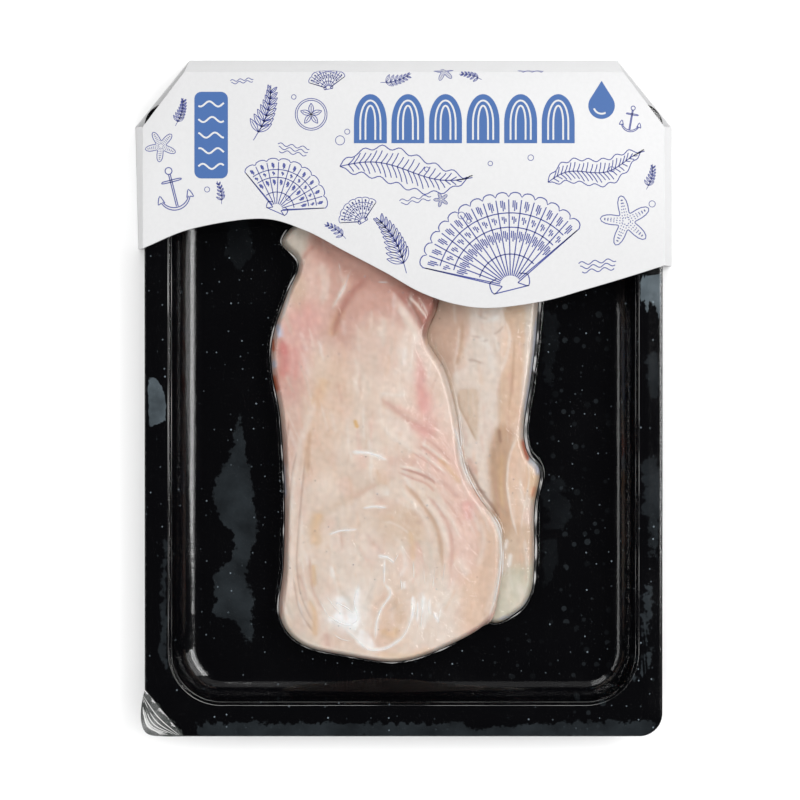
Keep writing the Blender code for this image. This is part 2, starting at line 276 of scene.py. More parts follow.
def signed_distance(outline, x, y):
    """How far inside the outline each place is, counted negative outside it."""
    x, y = np.asarray(x, float), np.asarray(y, float)
    nearest, crossings = np.full(x.shape, 1e9), np.zeros(x.shape, int)
    for (ax, ay), (bx, by) in zip(outline, np.roll(outline, -1, 0)):
        sx, sy = bx - ax, by - ay
        share = np.clip(((x - ax) * sx + (y - ay) * sy) / (sx * sx + sy * sy), 0, 1)
        nearest = np.minimum(nearest, (x - ax - share * sx) ** 2 + (y - ay - share * sy) ** 2)
        if sy:
            crossings += ((ay > y) != (by > y)) & (x < ax + (y - ay) * sx / sy)
    return np.where(crossings % 2 == 1, 1, -1) * np.sqrt(nearest)


def inside_distance(outline, x, y):
    """How far inside the outline each place is, and 0 outside it."""
    return np.maximum(signed_distance(outline, x, y), 0)


print("curve helpers ready")

# %% [markdown]
# ## Noise without a texture
# Flesh and film need soft, uneven bumps in their geometry. A sum of two dozen sine waves with seeded
# directions gives such noise anywhere, and the same noise on every run.

# %% Noise helper
def wavy_noise(x, y, size, seed, waves=24):
    """Soft noise from about -1 to 1, with features of this size."""
    draw = np.random.default_rng(seed)
    total = np.zeros(np.shape(x))
    for _ in range(waves):
        turn, phase = draw.uniform(0, 2 * math.pi, 2)
        pitch = 2 * math.pi / (size * draw.uniform(0.7, 1.8))
        total += np.sin(pitch * (x * math.cos(turn) + y * math.sin(turn)) + phase)
    return total / math.sqrt(waves / 2) / 1.6


print("noise at the middle:", round(float(wavy_noise(0.0, 0.0, 5, 1)), 3))

# %% [markdown]
# ## Nodes for the materials
# Small functions make a material and fill its nodes, so that each finish below reads as a recipe. Two effects
# are shared: fine fibres, which both fillets show, and soft mottling, which the tray, the card and the
# flesh show at different scales. Each is a node group with named inputs.

# %% Material helpers
def fill(made, *inputs, **values):
    """Fills a node's inputs, in order or by name, and sets what is named in small letters.

    A socket given as a value is linked, and a node stands for its first output.
    """
    for key, value in [*values.items(), *enumerate(inputs)]:
        if isinstance(key, str) and key.islower():
            setattr(made, key, value)
            continue
        if isinstance(value, bpy.types.Node):
            value = next(socket for socket in value.outputs if socket.enabled)
        target = made.inputs[key if isinstance(key, int) else key.replace("_", " ")]
        if isinstance(value, bpy.types.NodeSocket):
            made.id_data.links.new(value, target)
        else:
            target.default_value = value
    return made


def node(tree, kind, *inputs, **values):
    """A new node, filled."""
    return fill(tree.nodes.new(kind), *inputs, **values)


def math_node(tree, operation, *inputs):
    """A sum, product or comparison of sockets and numbers."""
    return node(tree, "ShaderNodeMath", *inputs, operation=operation)


def object_place(tree):
    """The place that is being coloured, in the object's own coordinates."""
    return node(tree, "ShaderNodeTexCoord").outputs["Object"]


def carried(tree, name):
    """A number that the mesh carries on its points."""
    return node(tree, "ShaderNodeAttribute", attribute_name=name).outputs["Fac"]


def new_material(name, **values):
    """A material with its node tree and its Principled shader, filled."""
    made = bpy.data.materials.new(name)
    made.use_nodes = True
    return made, made.node_tree, fill(made.node_tree.nodes["Principled BSDF"], **values)


def add_numbers(tree, numbers):
    """Gives a node group an input with a usual value for each of these numbers."""
    for title, value in numbers.items():
        tree.interface.new_socket(title, in_out="INPUT", socket_type="NodeSocketFloat").default_value = value


def mask_group(name, **numbers):
    """A shader node group's tree, with its inputs for numbers and one output for a mask."""
    tree = bpy.data.node_groups.new(name, "ShaderNodeTree")
    add_numbers(tree, numbers)
    tree.interface.new_socket("Mask", in_out="OUTPUT", socket_type="NodeSocketFloat")
    return tree


def mottling_group():
    """Soft uneven patches: Object coordinates in, a mask from 0 to 1 out."""
    tree = mask_group("mottling", Size=60.0, Detail=3.0, Low=0.35, High=0.65)
    given = node(tree, "NodeGroupInput").outputs
    place = object_place(tree)
    noise = node(tree, "ShaderNodeTexNoise", Vector=place, Scale=given["Size"], Detail=given["Detail"])
    spread = node(tree, "ShaderNodeMapRange", Value=noise, From_Min=given["Low"], From_Max=given["High"])
    node(tree, "NodeGroupOutput", Mask=spread)
    return tree


def fibre_group():
    """Muscle fibres: fine streaks across the fillet that bend with a slow noise, as a mask from 0 to 1."""
    tree = mask_group("flesh_fibres", Fineness=900.0, Bend=0.006, Stretch=0.16)
    given = node(tree, "NodeGroupInput").outputs
    place = object_place(tree)
    slow = node(tree, "ShaderNodeTexNoise", Vector=place, Scale=35.0, Detail=1.0)
    bent = node(tree, "ShaderNodeVectorMath", slow.outputs["Color"], given["Bend"], place,
                operation="MULTIPLY_ADD")
    squeeze = node(tree, "ShaderNodeCombineXYZ", 1.0, given["Stretch"], 1.0)
    scaled = node(tree, "ShaderNodeVectorMath", bent, squeeze, operation="MULTIPLY")
    fine = node(tree, "ShaderNodeTexNoise", Vector=scaled, Scale=given["Fineness"], Detail=4.0, Roughness=0.6)
    node(tree, "NodeGroupOutput", Mask=fine)
    return tree


MOTTLING = mottling_group()
FIBRES = fibre_group()
print("node groups:", [group.name for group in bpy.data.node_groups])

# %% [markdown]
# ## The tray
# The tray is one sheet of plastic drawn down into a rounded cavity. Its section is a flat flange with a bent
# outer strip, a round lip, a steep wall and a wide bottom radius. The section is swept round the tray as
# rings whose corners share one centre, and the lower left corner of the flange is cut off straight, where
# the film can be gripped.

# %% Tray section and rings
TRAY_WIDTH, TRAY_LENGTH, TRAY_HEIGHT = 180, 220, 15.8
TRAY_LOW_END = -118.72
TRAY_MIDDLE_Y = TRAY_LOW_END + TRAY_LENGTH / 2
TRAY_SHEET = 0.8
TRAY_CORNER = 8
STRIP_WIDTH = 5.2
# The outer strip: how far inside the tray's edge, and how far below the flange
STRIP_SECTION = [(0, 0.9), (0.2, 0.66), (0.6, 0.5), (1.4, 0.4), (2.8, 0.27), (4, 0.13), (4.8, 0.04),
                 (STRIP_WIDTH, 0)]
CUT_CORNER = np.array([13.4, 16.2])
CAVITY_INSET = np.array([8.8, 11.4])
CAVITY_CORNER = 18
BOTTOM_RADIUS, WALL_ANGLE, FLOOR_START = 9.4, math.radians(80), 10.3
arc_turn = np.linspace(WALL_ANGLE, 0, 11)
arc_run = FLOOR_START - BOTTOM_RADIUS * np.sin(arc_turn)
arc_height = TRAY_SHEET + BOTTOM_RADIUS * (1 - np.cos(arc_turn))
# The cavity: how far inside its rim, and how high
CAVITY_SECTION = [(-0.7, 15.8), (-0.15, 15.65), (0.1, 15.2), (0.55, 11.5), *zip(arc_run, arc_height)]


def rounded_ring(half, radius, height, cut=None, side_steps=(100, 140), corner_steps=28):
    """A rounded rectangle about the tray's middle, anticlockwise from the middle of its upper side."""
    corners = []
    for sign_x, sign_y, turn in ((-1, 1, 90), (-1, -1, 180), (1, -1, 270), (1, 1, 0)):
        center = np.array([sign_x, sign_y]) * (half - radius)
        angles = np.radians(turn + np.linspace(0, 90, corner_steps + 1))
        corners.append(center + radius * np.column_stack([np.cos(angles), np.sin(angles)]))
    if cut is not None:
        share = np.linspace(0, 1, corner_steps + 1)[:, None]
        corners[1] = (1 - share) * (-half[0], -half[1] + cut[1]) + share * (-half[0] + cut[0], -half[1])
    points = []
    for i in range(4):
        before, corner = corners[i - 1][-1], corners[i]
        share = np.linspace(0, 1, side_steps[i % 2] + 1)[1:-1, None]
        points += [before + share * (corner[0] - before), corner]
    points = np.roll(np.concatenate(points), -(side_steps[0] // 2 - 1), axis=0)
    return np.column_stack([points[:, 0], points[:, 1] + TRAY_MIDDLE_Y, np.full(len(points), height)])


def tray_half(inset):
    """Half the tray's width and length, less an inset."""
    return np.array([TRAY_WIDTH, TRAY_LENGTH]) / 2 - inset


def cut_at(inset):
    """The cut corner's size on a ring that runs this far inside the tray's edge."""
    slope = 1 / CUT_CORNER
    return CUT_CORNER * (1 + inset * (np.hypot(*slope) - slope.sum()))


def shifted(section, distance):
    """The section moved this far off the plastic, square to itself."""
    along = np.gradient(section, axis=0)
    along /= np.linalg.norm(along, axis=1)[:, None]
    return section + distance * np.column_stack([-along[:, 1], along[:, 0]])


def flange_rings(lift, steps):
    """Rings over the bent outer strip and the flange, up to the cavity's lip."""
    rings = []
    for inset, drop in STRIP_SECTION:
        height = TRAY_HEIGHT - drop + lift
        rings.append(rounded_ring(tray_half(inset), TRAY_CORNER - inset / 2, height, cut_at(inset)))
    lip = cavity_section[0] + (0, lift)
    outer = rings[-1]
    inner = rounded_ring(tray_half(CAVITY_INSET + lip[0]), CAVITY_CORNER - lip[0], lip[1])
    return rings + [outer + share * (inner - outer) for share in np.linspace(0, 1, steps + 1)[1:-1]]


cavity_section = open_curve(CAVITY_SECTION, 4)
print("section points:", len(cavity_section))

# %% [markdown]
# Black tray plastic is nearly black and quite glossy. What gives it away is a very faint unevenness, so a
# mottling mask changes the roughness a little and a second, finer noise bends the reflections.

# %% Tray plastic
def tray_plastic():
    """Nearly black, glossy plastic with a faint unevenness."""
    made, tree, shader = new_material("black_tray_plastic", IOR=1.46, Specular_IOR_Level=0.4)
    patches = node(tree, "ShaderNodeGroup", node_tree=MOTTLING, Size=45)
    rough = node(tree, "ShaderNodeMapRange", Value=patches, To_Min=0.1, To_Max=0.2)
    ripple = node(tree, "ShaderNodeTexNoise", Vector=object_place(tree), Scale=120.0, Detail=3.0)
    bump = node(tree, "ShaderNodeBump", Height=ripple, Strength=0.25, Distance=0.0003)
    fill(shader, Base_Color=(0.0015, 0.0015, 0.002, 1), Roughness=rough, Normal=bump)
    return made


def cavity_rings(section):
    """One ring for each point of the section, with corners round one centre."""
    return [rounded_ring(tray_half(CAVITY_INSET + run), CAVITY_CORNER - run, height)
            for run, height in section]


rings = flange_rings(0, 3) + cavity_rings(cavity_section)
points, faces = strips(rings)
count = len(rings[0])
faces += cap(len(points) - count, count)
points, faces = closed_sheet(points, faces, [list(range(count))], TRAY_SHEET)
tray = add_piece("tray_shell", leaned(points), faces, tray_plastic(), "tray")
print("tray faces:", len(tray.data.polygons))

# %% [markdown]
# ## The two fillets: their forms
# Each fillet is a soft slab: its edge rises like a quarter circle and its back is a long dome. The front
# fillet lies partly on the back one, so its underside follows the back fillet's top. The outlines are drawn
# from above, in millimetres.

# %% Fillet outlines
FISH_BASE, FISH_EDGE, FISH_GAP = 1.2, 2.6, 0.6
FRONT_LEFT = [(-20, 72), (-36, 62), (-43, 54), (-37, 46), (-41, 36), (-46, 21), (-46.5, 9), (-43.5, -8),
              (-42, -34), (-42.4, -60), (-43.8, -78), (-36, -88), (-20, -92), (-1, -94)]
FRONT_RIGHT = [(2, 66), (13, 45), (12, 31), (8.5, 20), (14.5, 9), (19, -8), (21, -24), (26, -35), (33.5, -46),
               (34.5, -58), (33.3, -70), (30, -80), (17, -88)]
FRONT_SPINE = [(-14, 48), (-4, -66)]
FRONT_THICK = 13.8
BACK_LEFT = [(20, 66), (4, 56), (0, 36), (3, 10), (7, -12), (12, -40), (20, -64), (30, -80)]
BACK_RIGHT = [(38, 58), (47, 42), (47, 24), (45, 6), (42.4, -12), (44, -21), (48.2, -27), (46.2, -40),
              (46.2, -58), (45, -70), (40, -77)]
BACK_SPINE = [(25, 46), (33, -62)]
BACK_THICK = 10.2
LAPPED_EDGE = 3.4
FRONT_AROUND, BACK_AROUND = 640, 480

front_outline = fillet_outline(FRONT_LEFT, FRONT_RIGHT, FRONT_AROUND // 2)
back_outline = fillet_outline(BACK_LEFT, BACK_RIGHT, BACK_AROUND // 2)
print("front fillet spans", np.ptp(front_outline, axis=0).round(1))

# %% [markdown]
# The fillets' heights are also kept on a fine square grid, because the film needs to know what it covers,
# and the front fillet needs the back one's top with a little room round it.

# %% Height grid
GRID_STEP = 0.5
grid_xs = np.arange(-80, 80 + GRID_STEP / 2, GRID_STEP)
grid_ys = np.arange(-106, 92 + GRID_STEP / 2, GRID_STEP)
GRID_X, GRID_Y = np.meshgrid(grid_xs, grid_ys)


def on_grid(field, x, y):
    """The field's value at each place, blended between the grid's points."""
    across = np.clip((np.asarray(x) - grid_xs[0]) / GRID_STEP, 0, len(grid_xs) - 1.001)
    up = np.clip((np.asarray(y) - grid_ys[0]) / GRID_STEP, 0, len(grid_ys) - 1.001)
    i, j = across.astype(int), up.astype(int)
    fx, fy = across - i, up - j
    low = field[j, i] * (1 - fx) + field[j, i + 1] * fx
    high = field[j + 1, i] * (1 - fx) + field[j + 1, i + 1] * fx
    return low * (1 - fy) + high * fy


def rolled_ball(field, radius, sign):
    """The field widened (sign 1) or narrowed (sign -1) by a ball of this radius."""
    reach = int(radius / GRID_STEP)
    pad = np.pad(field, reach, mode="edge")
    rows, columns = field.shape
    found = field.copy()
    for j in range(-reach, reach + 1):
        for i in range(-reach, reach + 1):
            off = math.hypot(i, j) * GRID_STEP
            if off > radius:
                continue
            drop = radius - math.sqrt(radius**2 - off**2)
            near = pad[reach + j:reach + j + rows, reach + i:reach + i + columns] - sign * drop
            found = np.maximum(found, near) if sign > 0 else np.minimum(found, near)
    return found


def softened(field, passes):
    """The field after some passes of averaging with its neighbours."""
    for _ in range(passes):
        pad = np.pad(field, 1, mode="edge")
        field = (pad[1:-1, :-2] + pad[1:-1, 2:] + pad[:-2, 1:-1] + pad[2:, 1:-1] + 4 * field) / 8
    return field


print("grid:", GRID_X.shape)

# %% [markdown]
# Both tops are formulas of the place and of how near the edge it is. Over the back fillet the front one
# becomes a thin lap that follows what is under it, and a smooth blend joins the lap to the thick part.

# %% Fillet heights
def ramp(value, start, end):
    """0 up to the start, then rising evenly to 1 at the end and staying there."""
    return np.clip((value - start) / (end - start), 0, 1)


def round_edge(distance, radius):
    """0 at a fillet's edge, rising like a quarter circle to 1 at this distance inside it."""
    return np.sqrt(1 - (1 - ramp(distance, 0, radius)) ** 2)


def bump_at(value, middle, width):
    """1 at the middle, falling smoothly to both sides."""
    return np.exp(-(((value - middle) / width) ** 2))


def back_top(x, y, edge):
    """The back fillet's top: full along its right side, thin where the front fillet covers it."""
    thick = BACK_THICK * (0.22 + 0.78 * ramp(x, 2, 34)) * (0.62 + 0.38 * bump_at(y, 5, 62))
    return FISH_BASE + thick * edge


def front_top(x, y, edge, under):
    """The front fillet's top: a long dome, lifted where it lies on the back fillet."""
    dome = 0.5 + 0.5 * bump_at(x, -8, 40) * (0.7 + 0.3 * bump_at(y, -10, 60))
    resting = FISH_BASE + FRONT_THICK * dome * edge
    lapping = under + LAPPED_EDGE * (0.35 * edge + 0.65 * edge**3) * (0.8 + 0.2 * bump_at(x, 0, 24))
    apart = np.clip(0.5 + (resting - lapping) / 2.4, 0, 1)
    return apart * resting + (1 - apart) * lapping + 0.6 * apart * (1 - apart)


coarse_back, coarse_front = back_outline[::3], front_outline[::4]
back_inside = inside_distance(coarse_back, GRID_X, GRID_Y)
front_inside = inside_distance(coarse_front, GRID_X, GRID_Y)
back_height = np.where(back_inside > 0, back_top(GRID_X, GRID_Y, round_edge(back_inside, FISH_EDGE)), 0)
lap_height = softened(rolled_ball(back_height, 2.5, 1), 4)
under_height = np.where(lap_height > FISH_BASE, lap_height + FISH_GAP, FISH_BASE)
front_height = np.where(
    front_inside > 0, front_top(GRID_X, GRID_Y, round_edge(front_inside, FISH_EDGE), under_height), 0
)
print("tops:", round(float(back_height.max()), 2), round(float(front_height.max()), 2))

# %% [markdown]
# ## Painting and carving
# Raw flesh is a map of soft areas and streaks: pink blood, white fat, tan connective tissue. An area is an
# outline filled with a colour behind a soft border. A stroke is a smooth line with a width, a colour and a
# strength, and it may also raise or sink the surface a little. Painting like this is quick to correct, and
# the colour is kept as an attribute on each piece's own points.
# Some marks are painted light: glints in pale, white and glare, shade in shadow, deep rose and brown.

# %% Palette and painter
FLESH_EXPOSURE = np.array([0.715, 0.75, 0.79])
FIBRE_MARGIN = 2.5
FIBRE_TINTS = ["pale", "white", "blush", "peach", "rose", "grey_beige"]


def shade(red, green, blue):
    """A screen colour from 0 to 255 as the linear colour that a shader needs."""
    value = np.array([red, green, blue]) / 255
    return np.where(value <= 0.04045, value / 12.92, ((value + 0.055) / 1.055) ** 2.4)


PALETTE = {
    "cream": shade(228, 206, 188),
    "pale": shade(234, 217, 202),
    # white is the flesh's white, and it also paints highlights where the film glints
    "white": shade(246, 240, 232),
    # glare is painted highlight only: the film's glints on the flesh
    "glare": shade(255, 253, 250),
    "peach": shade(227, 191, 164),
    "blush": shade(230, 190, 174),
    "rose": shade(208, 164, 148),
    "deep_rose": shade(192, 140, 124),
    "pink": shade(224, 164, 154),
    "blood": shade(208, 124, 118),
    "wine": shade(174, 116, 102),
    "tan": shade(208, 178, 150),
    "deep_tan": shade(194, 158, 128),
    "ochre": shade(222, 182, 136),
    "mustard": shade(214, 166, 92),
    "shadow": shade(150, 114, 98),
    "grey_beige": shade(203, 190, 174),
    "grey_green": shade(206, 198, 176),
    "fat": shade(196, 204, 220),
    "skin": shade(200, 88, 36),
    "brown": shade(128, 84, 66),
}


def paint(x, y, base, areas, strokes):
    """Colours and heights at each place: the base colour, then every area and stroke over it in turn."""
    color = np.tile(PALETTE[base], (len(x), 1))
    color += 0.05 * wavy_noise(x, y, 14, 21)[:, None] * color
    color += 0.3 * np.clip(wavy_noise(x, y, 11, 22), 0, 1)[:, None] * (PALETTE["blush"] - color)
    height = np.zeros(len(x))
    for tint, softness, strength, outline in areas:
        share = np.clip(signed_distance(closed_curve(outline, 6), x, y) / softness / 2 + 0.5, 0, 1)
        mask = strength * share * share * (3 - 2 * share)
        color += mask[:, None] * (PALETTE[tint] - color)
    for tint, width, strength, rise, line in strokes:
        curve = open_curve(line, 6)
        low, high = curve.min(0) - 3 * width, curve.max(0) + 3 * width
        near = (x > low[0]) & (x < high[0]) & (y > low[1]) & (y < high[1])
        distance, along, _ = line_distance(x[near], y[near], curve)
        taper = np.clip(np.minimum(along, 1 - along) * 6 + 0.35, 0, 1)
        mask = np.exp(-((distance / (width * taper)) ** 2)) * taper
        color[near] += (strength * mask)[:, None] * (PALETTE[tint] - color[near])
        height[near] += 0.5 * rise * mask
    grain = 0.035 * wavy_noise(x, y, 2.6, 23) + 0.02 * wavy_noise(1.8 * x, 0.5 * y, 4, 24)
    color *= 1 + grain[:, None]
    return FLESH_EXPOSURE * color, height


def fibre_streaks(count, seed, outline, turn_at):
    """Short, faint strokes along the muscle fibres, at seeded places inside an outline."""
    draw = np.random.default_rng(seed)
    low, high = outline.min(0), outline.max(0)
    strokes = []
    while len(strokes) < count:
        place = draw.uniform(low, high)
        if signed_distance(outline, place[:1], place[1:])[0] < FIBRE_MARGIN:
            continue
        line = [place]
        step = draw.uniform(1.6, 4.4)
        for _ in range(3):
            turn = turn_at(*line[-1]) + draw.uniform(-0.12, 0.12)
            line.append(line[-1] + step * np.array([math.cos(turn), math.sin(turn)]))
        tint = draw.choice(FIBRE_TINTS)
        width, strength, rise = draw.uniform(0.25, 0.9), draw.uniform(0.12, 0.4), draw.uniform(-0.06, 0.08)
        strokes.append((tint, width, strength, rise, line))
    return strokes


print("palette:", len(PALETTE), "colours")

# %% [markdown]
# The front fillet is cream, rosy towards the sleeve and along its right side, darker just below the sleeve's
# edge with painted shade for its shadow, with a blood stain on its left edge, a flap and folds in the middle,
# and a swelling at its lower end on which the light glints. Broad areas come first, then folds and stains,
# and last the painted highlights of those glints and the torn fringe of skin along the edge.

# %% The front fillet's colours
FRONT_AREAS = [
    # colour, softness of the border in mm, strength, outline
    ("rose", 9, 0.95, [(-30, 66), (-33, 40), (-31, 22), (-16, 11), (0, 12), (12, 26), (16, 48), (2, 70)]),
    ("blush", 8, 0.5, [(-10, 24), (6, 24), (16, 4), (20, -16), (24, -30), (10, -26), (0, -8), (-8, 6)]),
    # Painted shade over the flesh's own rose: these two areas darken the band just below the sleeve's edge.
    ("rose", 5, 0.9, [(-34, 64), (-33, 50), (-26, 47), (-20, 40), (-12, 38), (-2, 38), (6, 32), (14, 44),
                      (4, 68)]),
    ("deep_rose", 3, 0.9, [(-30, 62), (-29, 53), (-20, 49), (-10, 43), (0, 39), (12, 35), (16, 46), (4, 70)]),
    ("grey_beige", 1.2, 0.9, [(-45, 54), (-38, 60), (-33, 60), (-33, 53), (-36, 46.5), (-41, 49)]),
    ("blush", 3, 0.6, [(-36, 44), (-28, 46), (-26, 34), (-28, 24), (-40, 24), (-40, 36)]),
    ("tan", 2, 0.5, [(-38, 42), (-34, 40), (-35, 30), (-39, 30)]),
    ("pink", 4, 0.65, [(-44, 24), (-34, 32), (-29, 26), (-32, 16), (-34, 6), (-38, -2), (-46, 2)]),
    ("rose", 3.5, 0.85, [(-18, 37), (-9, 39.5), (0, 37), (3, 30), (0, 24), (-8, 26), (-16, 26), (-22, 30)]),
    ("cream", 4, 0.6, [(-16, 24), (0, 24), (5, 8), (2, -6), (-20, -4)]),
    ("wine", 0.8, 0.95, [(-4, 37.5), (4, 38), (12, 36), (13.5, 31), (9.5, 23), (8, 19), (4, 26), (-1, 33)]),
    ("pale", 2.2, 0.6, [(-2, 32), (3, 27), (7, 18), (8, 8), (4, 4), (-1, 8), (-3, 16), (1, 24)]),
    ("cream", 2.5, 0.5, [(9, 20), (14, 10), (19, -6), (17, -12), (10, -4), (8, 8)]),
    ("rose", 2.5, 0.55, [(-43, 4), (-35, 4), (-35, -14), (-39, -28), (-43, -30)]),
    ("peach", 5, 0.45, [(-32, 8), (-22, 14), (-18, -2), (-24, -20), (-34, -28)]),
    ("pale", 0.7, 0.45, [(-7.8, -4.4), (-3, -7), (2, -10.6), (5, -13.6), (4, -18), (-1, -16.4),
                         (-5.6, -12.4)]),
    ("blush", 3, 0.6, [(8, -12), (16, -16), (22, -26), (28, -38), (20, -40), (12, -32), (0, -26), (4, -20)]),
    ("blush", 4, 0.65, [(16, -36), (27, -38), (28, -52), (26, -64), (17, -64), (16, -52)]),
    ("peach", 3, 0.7, [(26, -42), (33, -50), (32, -66), (28, -80), (20, -82), (20, -66), (26, -58)]),
    ("tan", 4, 0.45, [(-10, -40), (4, -39), (8, -50), (0, -52), (-8, -48)]),
    ("pale", 5, 0.5, [(-28, -50), (-10, -50), (-8, -66), (-24, -70)]),
    # Painted highlight down to the last glare patch: pale, white and glare areas where the film glints.
    ("pale", 3, 0.55, [(-17, -66), (-8, -64), (-8, -80), (-15, -82)]),
    ("white", 3, 0.5, [(-27, -71), (-15, -69), (-13, -80), (-18, -84), (-28, -80)]),
    ("glare", 1.2, 0.75, [(-24, -71), (-20.5, -70.5), (-17.5, -74), (-15.6, -79), (-17.6, -82.4), (-22, -80),
                          (-26, -78.4), (-23, -75)]),
    ("glare", 1, 0.65, [(-15, -82), (-11.6, -84), (-10, -88), (-13, -88.6), (-16.4, -86)]),
    ("glare", 1, 0.35, [(5.6, -69), (7.8, -70), (8.4, -76), (7, -81), (5.4, -77)]),
    ("glare", 1, 0.3, [(-4.6, -71), (-2.8, -74), (-3.4, -80), (-5.2, -77)]),
    ("peach", 3, 0.5, [(-10, -70), (2, -70), (2, -86), (-9, -87)]),
    # Partly painted highlight: pale flesh with the film's glints over it.
    ("pale", 4, 0.6, [(3, -66), (18, -66), (18, -84), (2, -88)]),
    ("grey_beige", 3, 0.45, [(-46, -76), (-38, -80), (-32, -88), (-40, -92), (-48, -84)]),
]
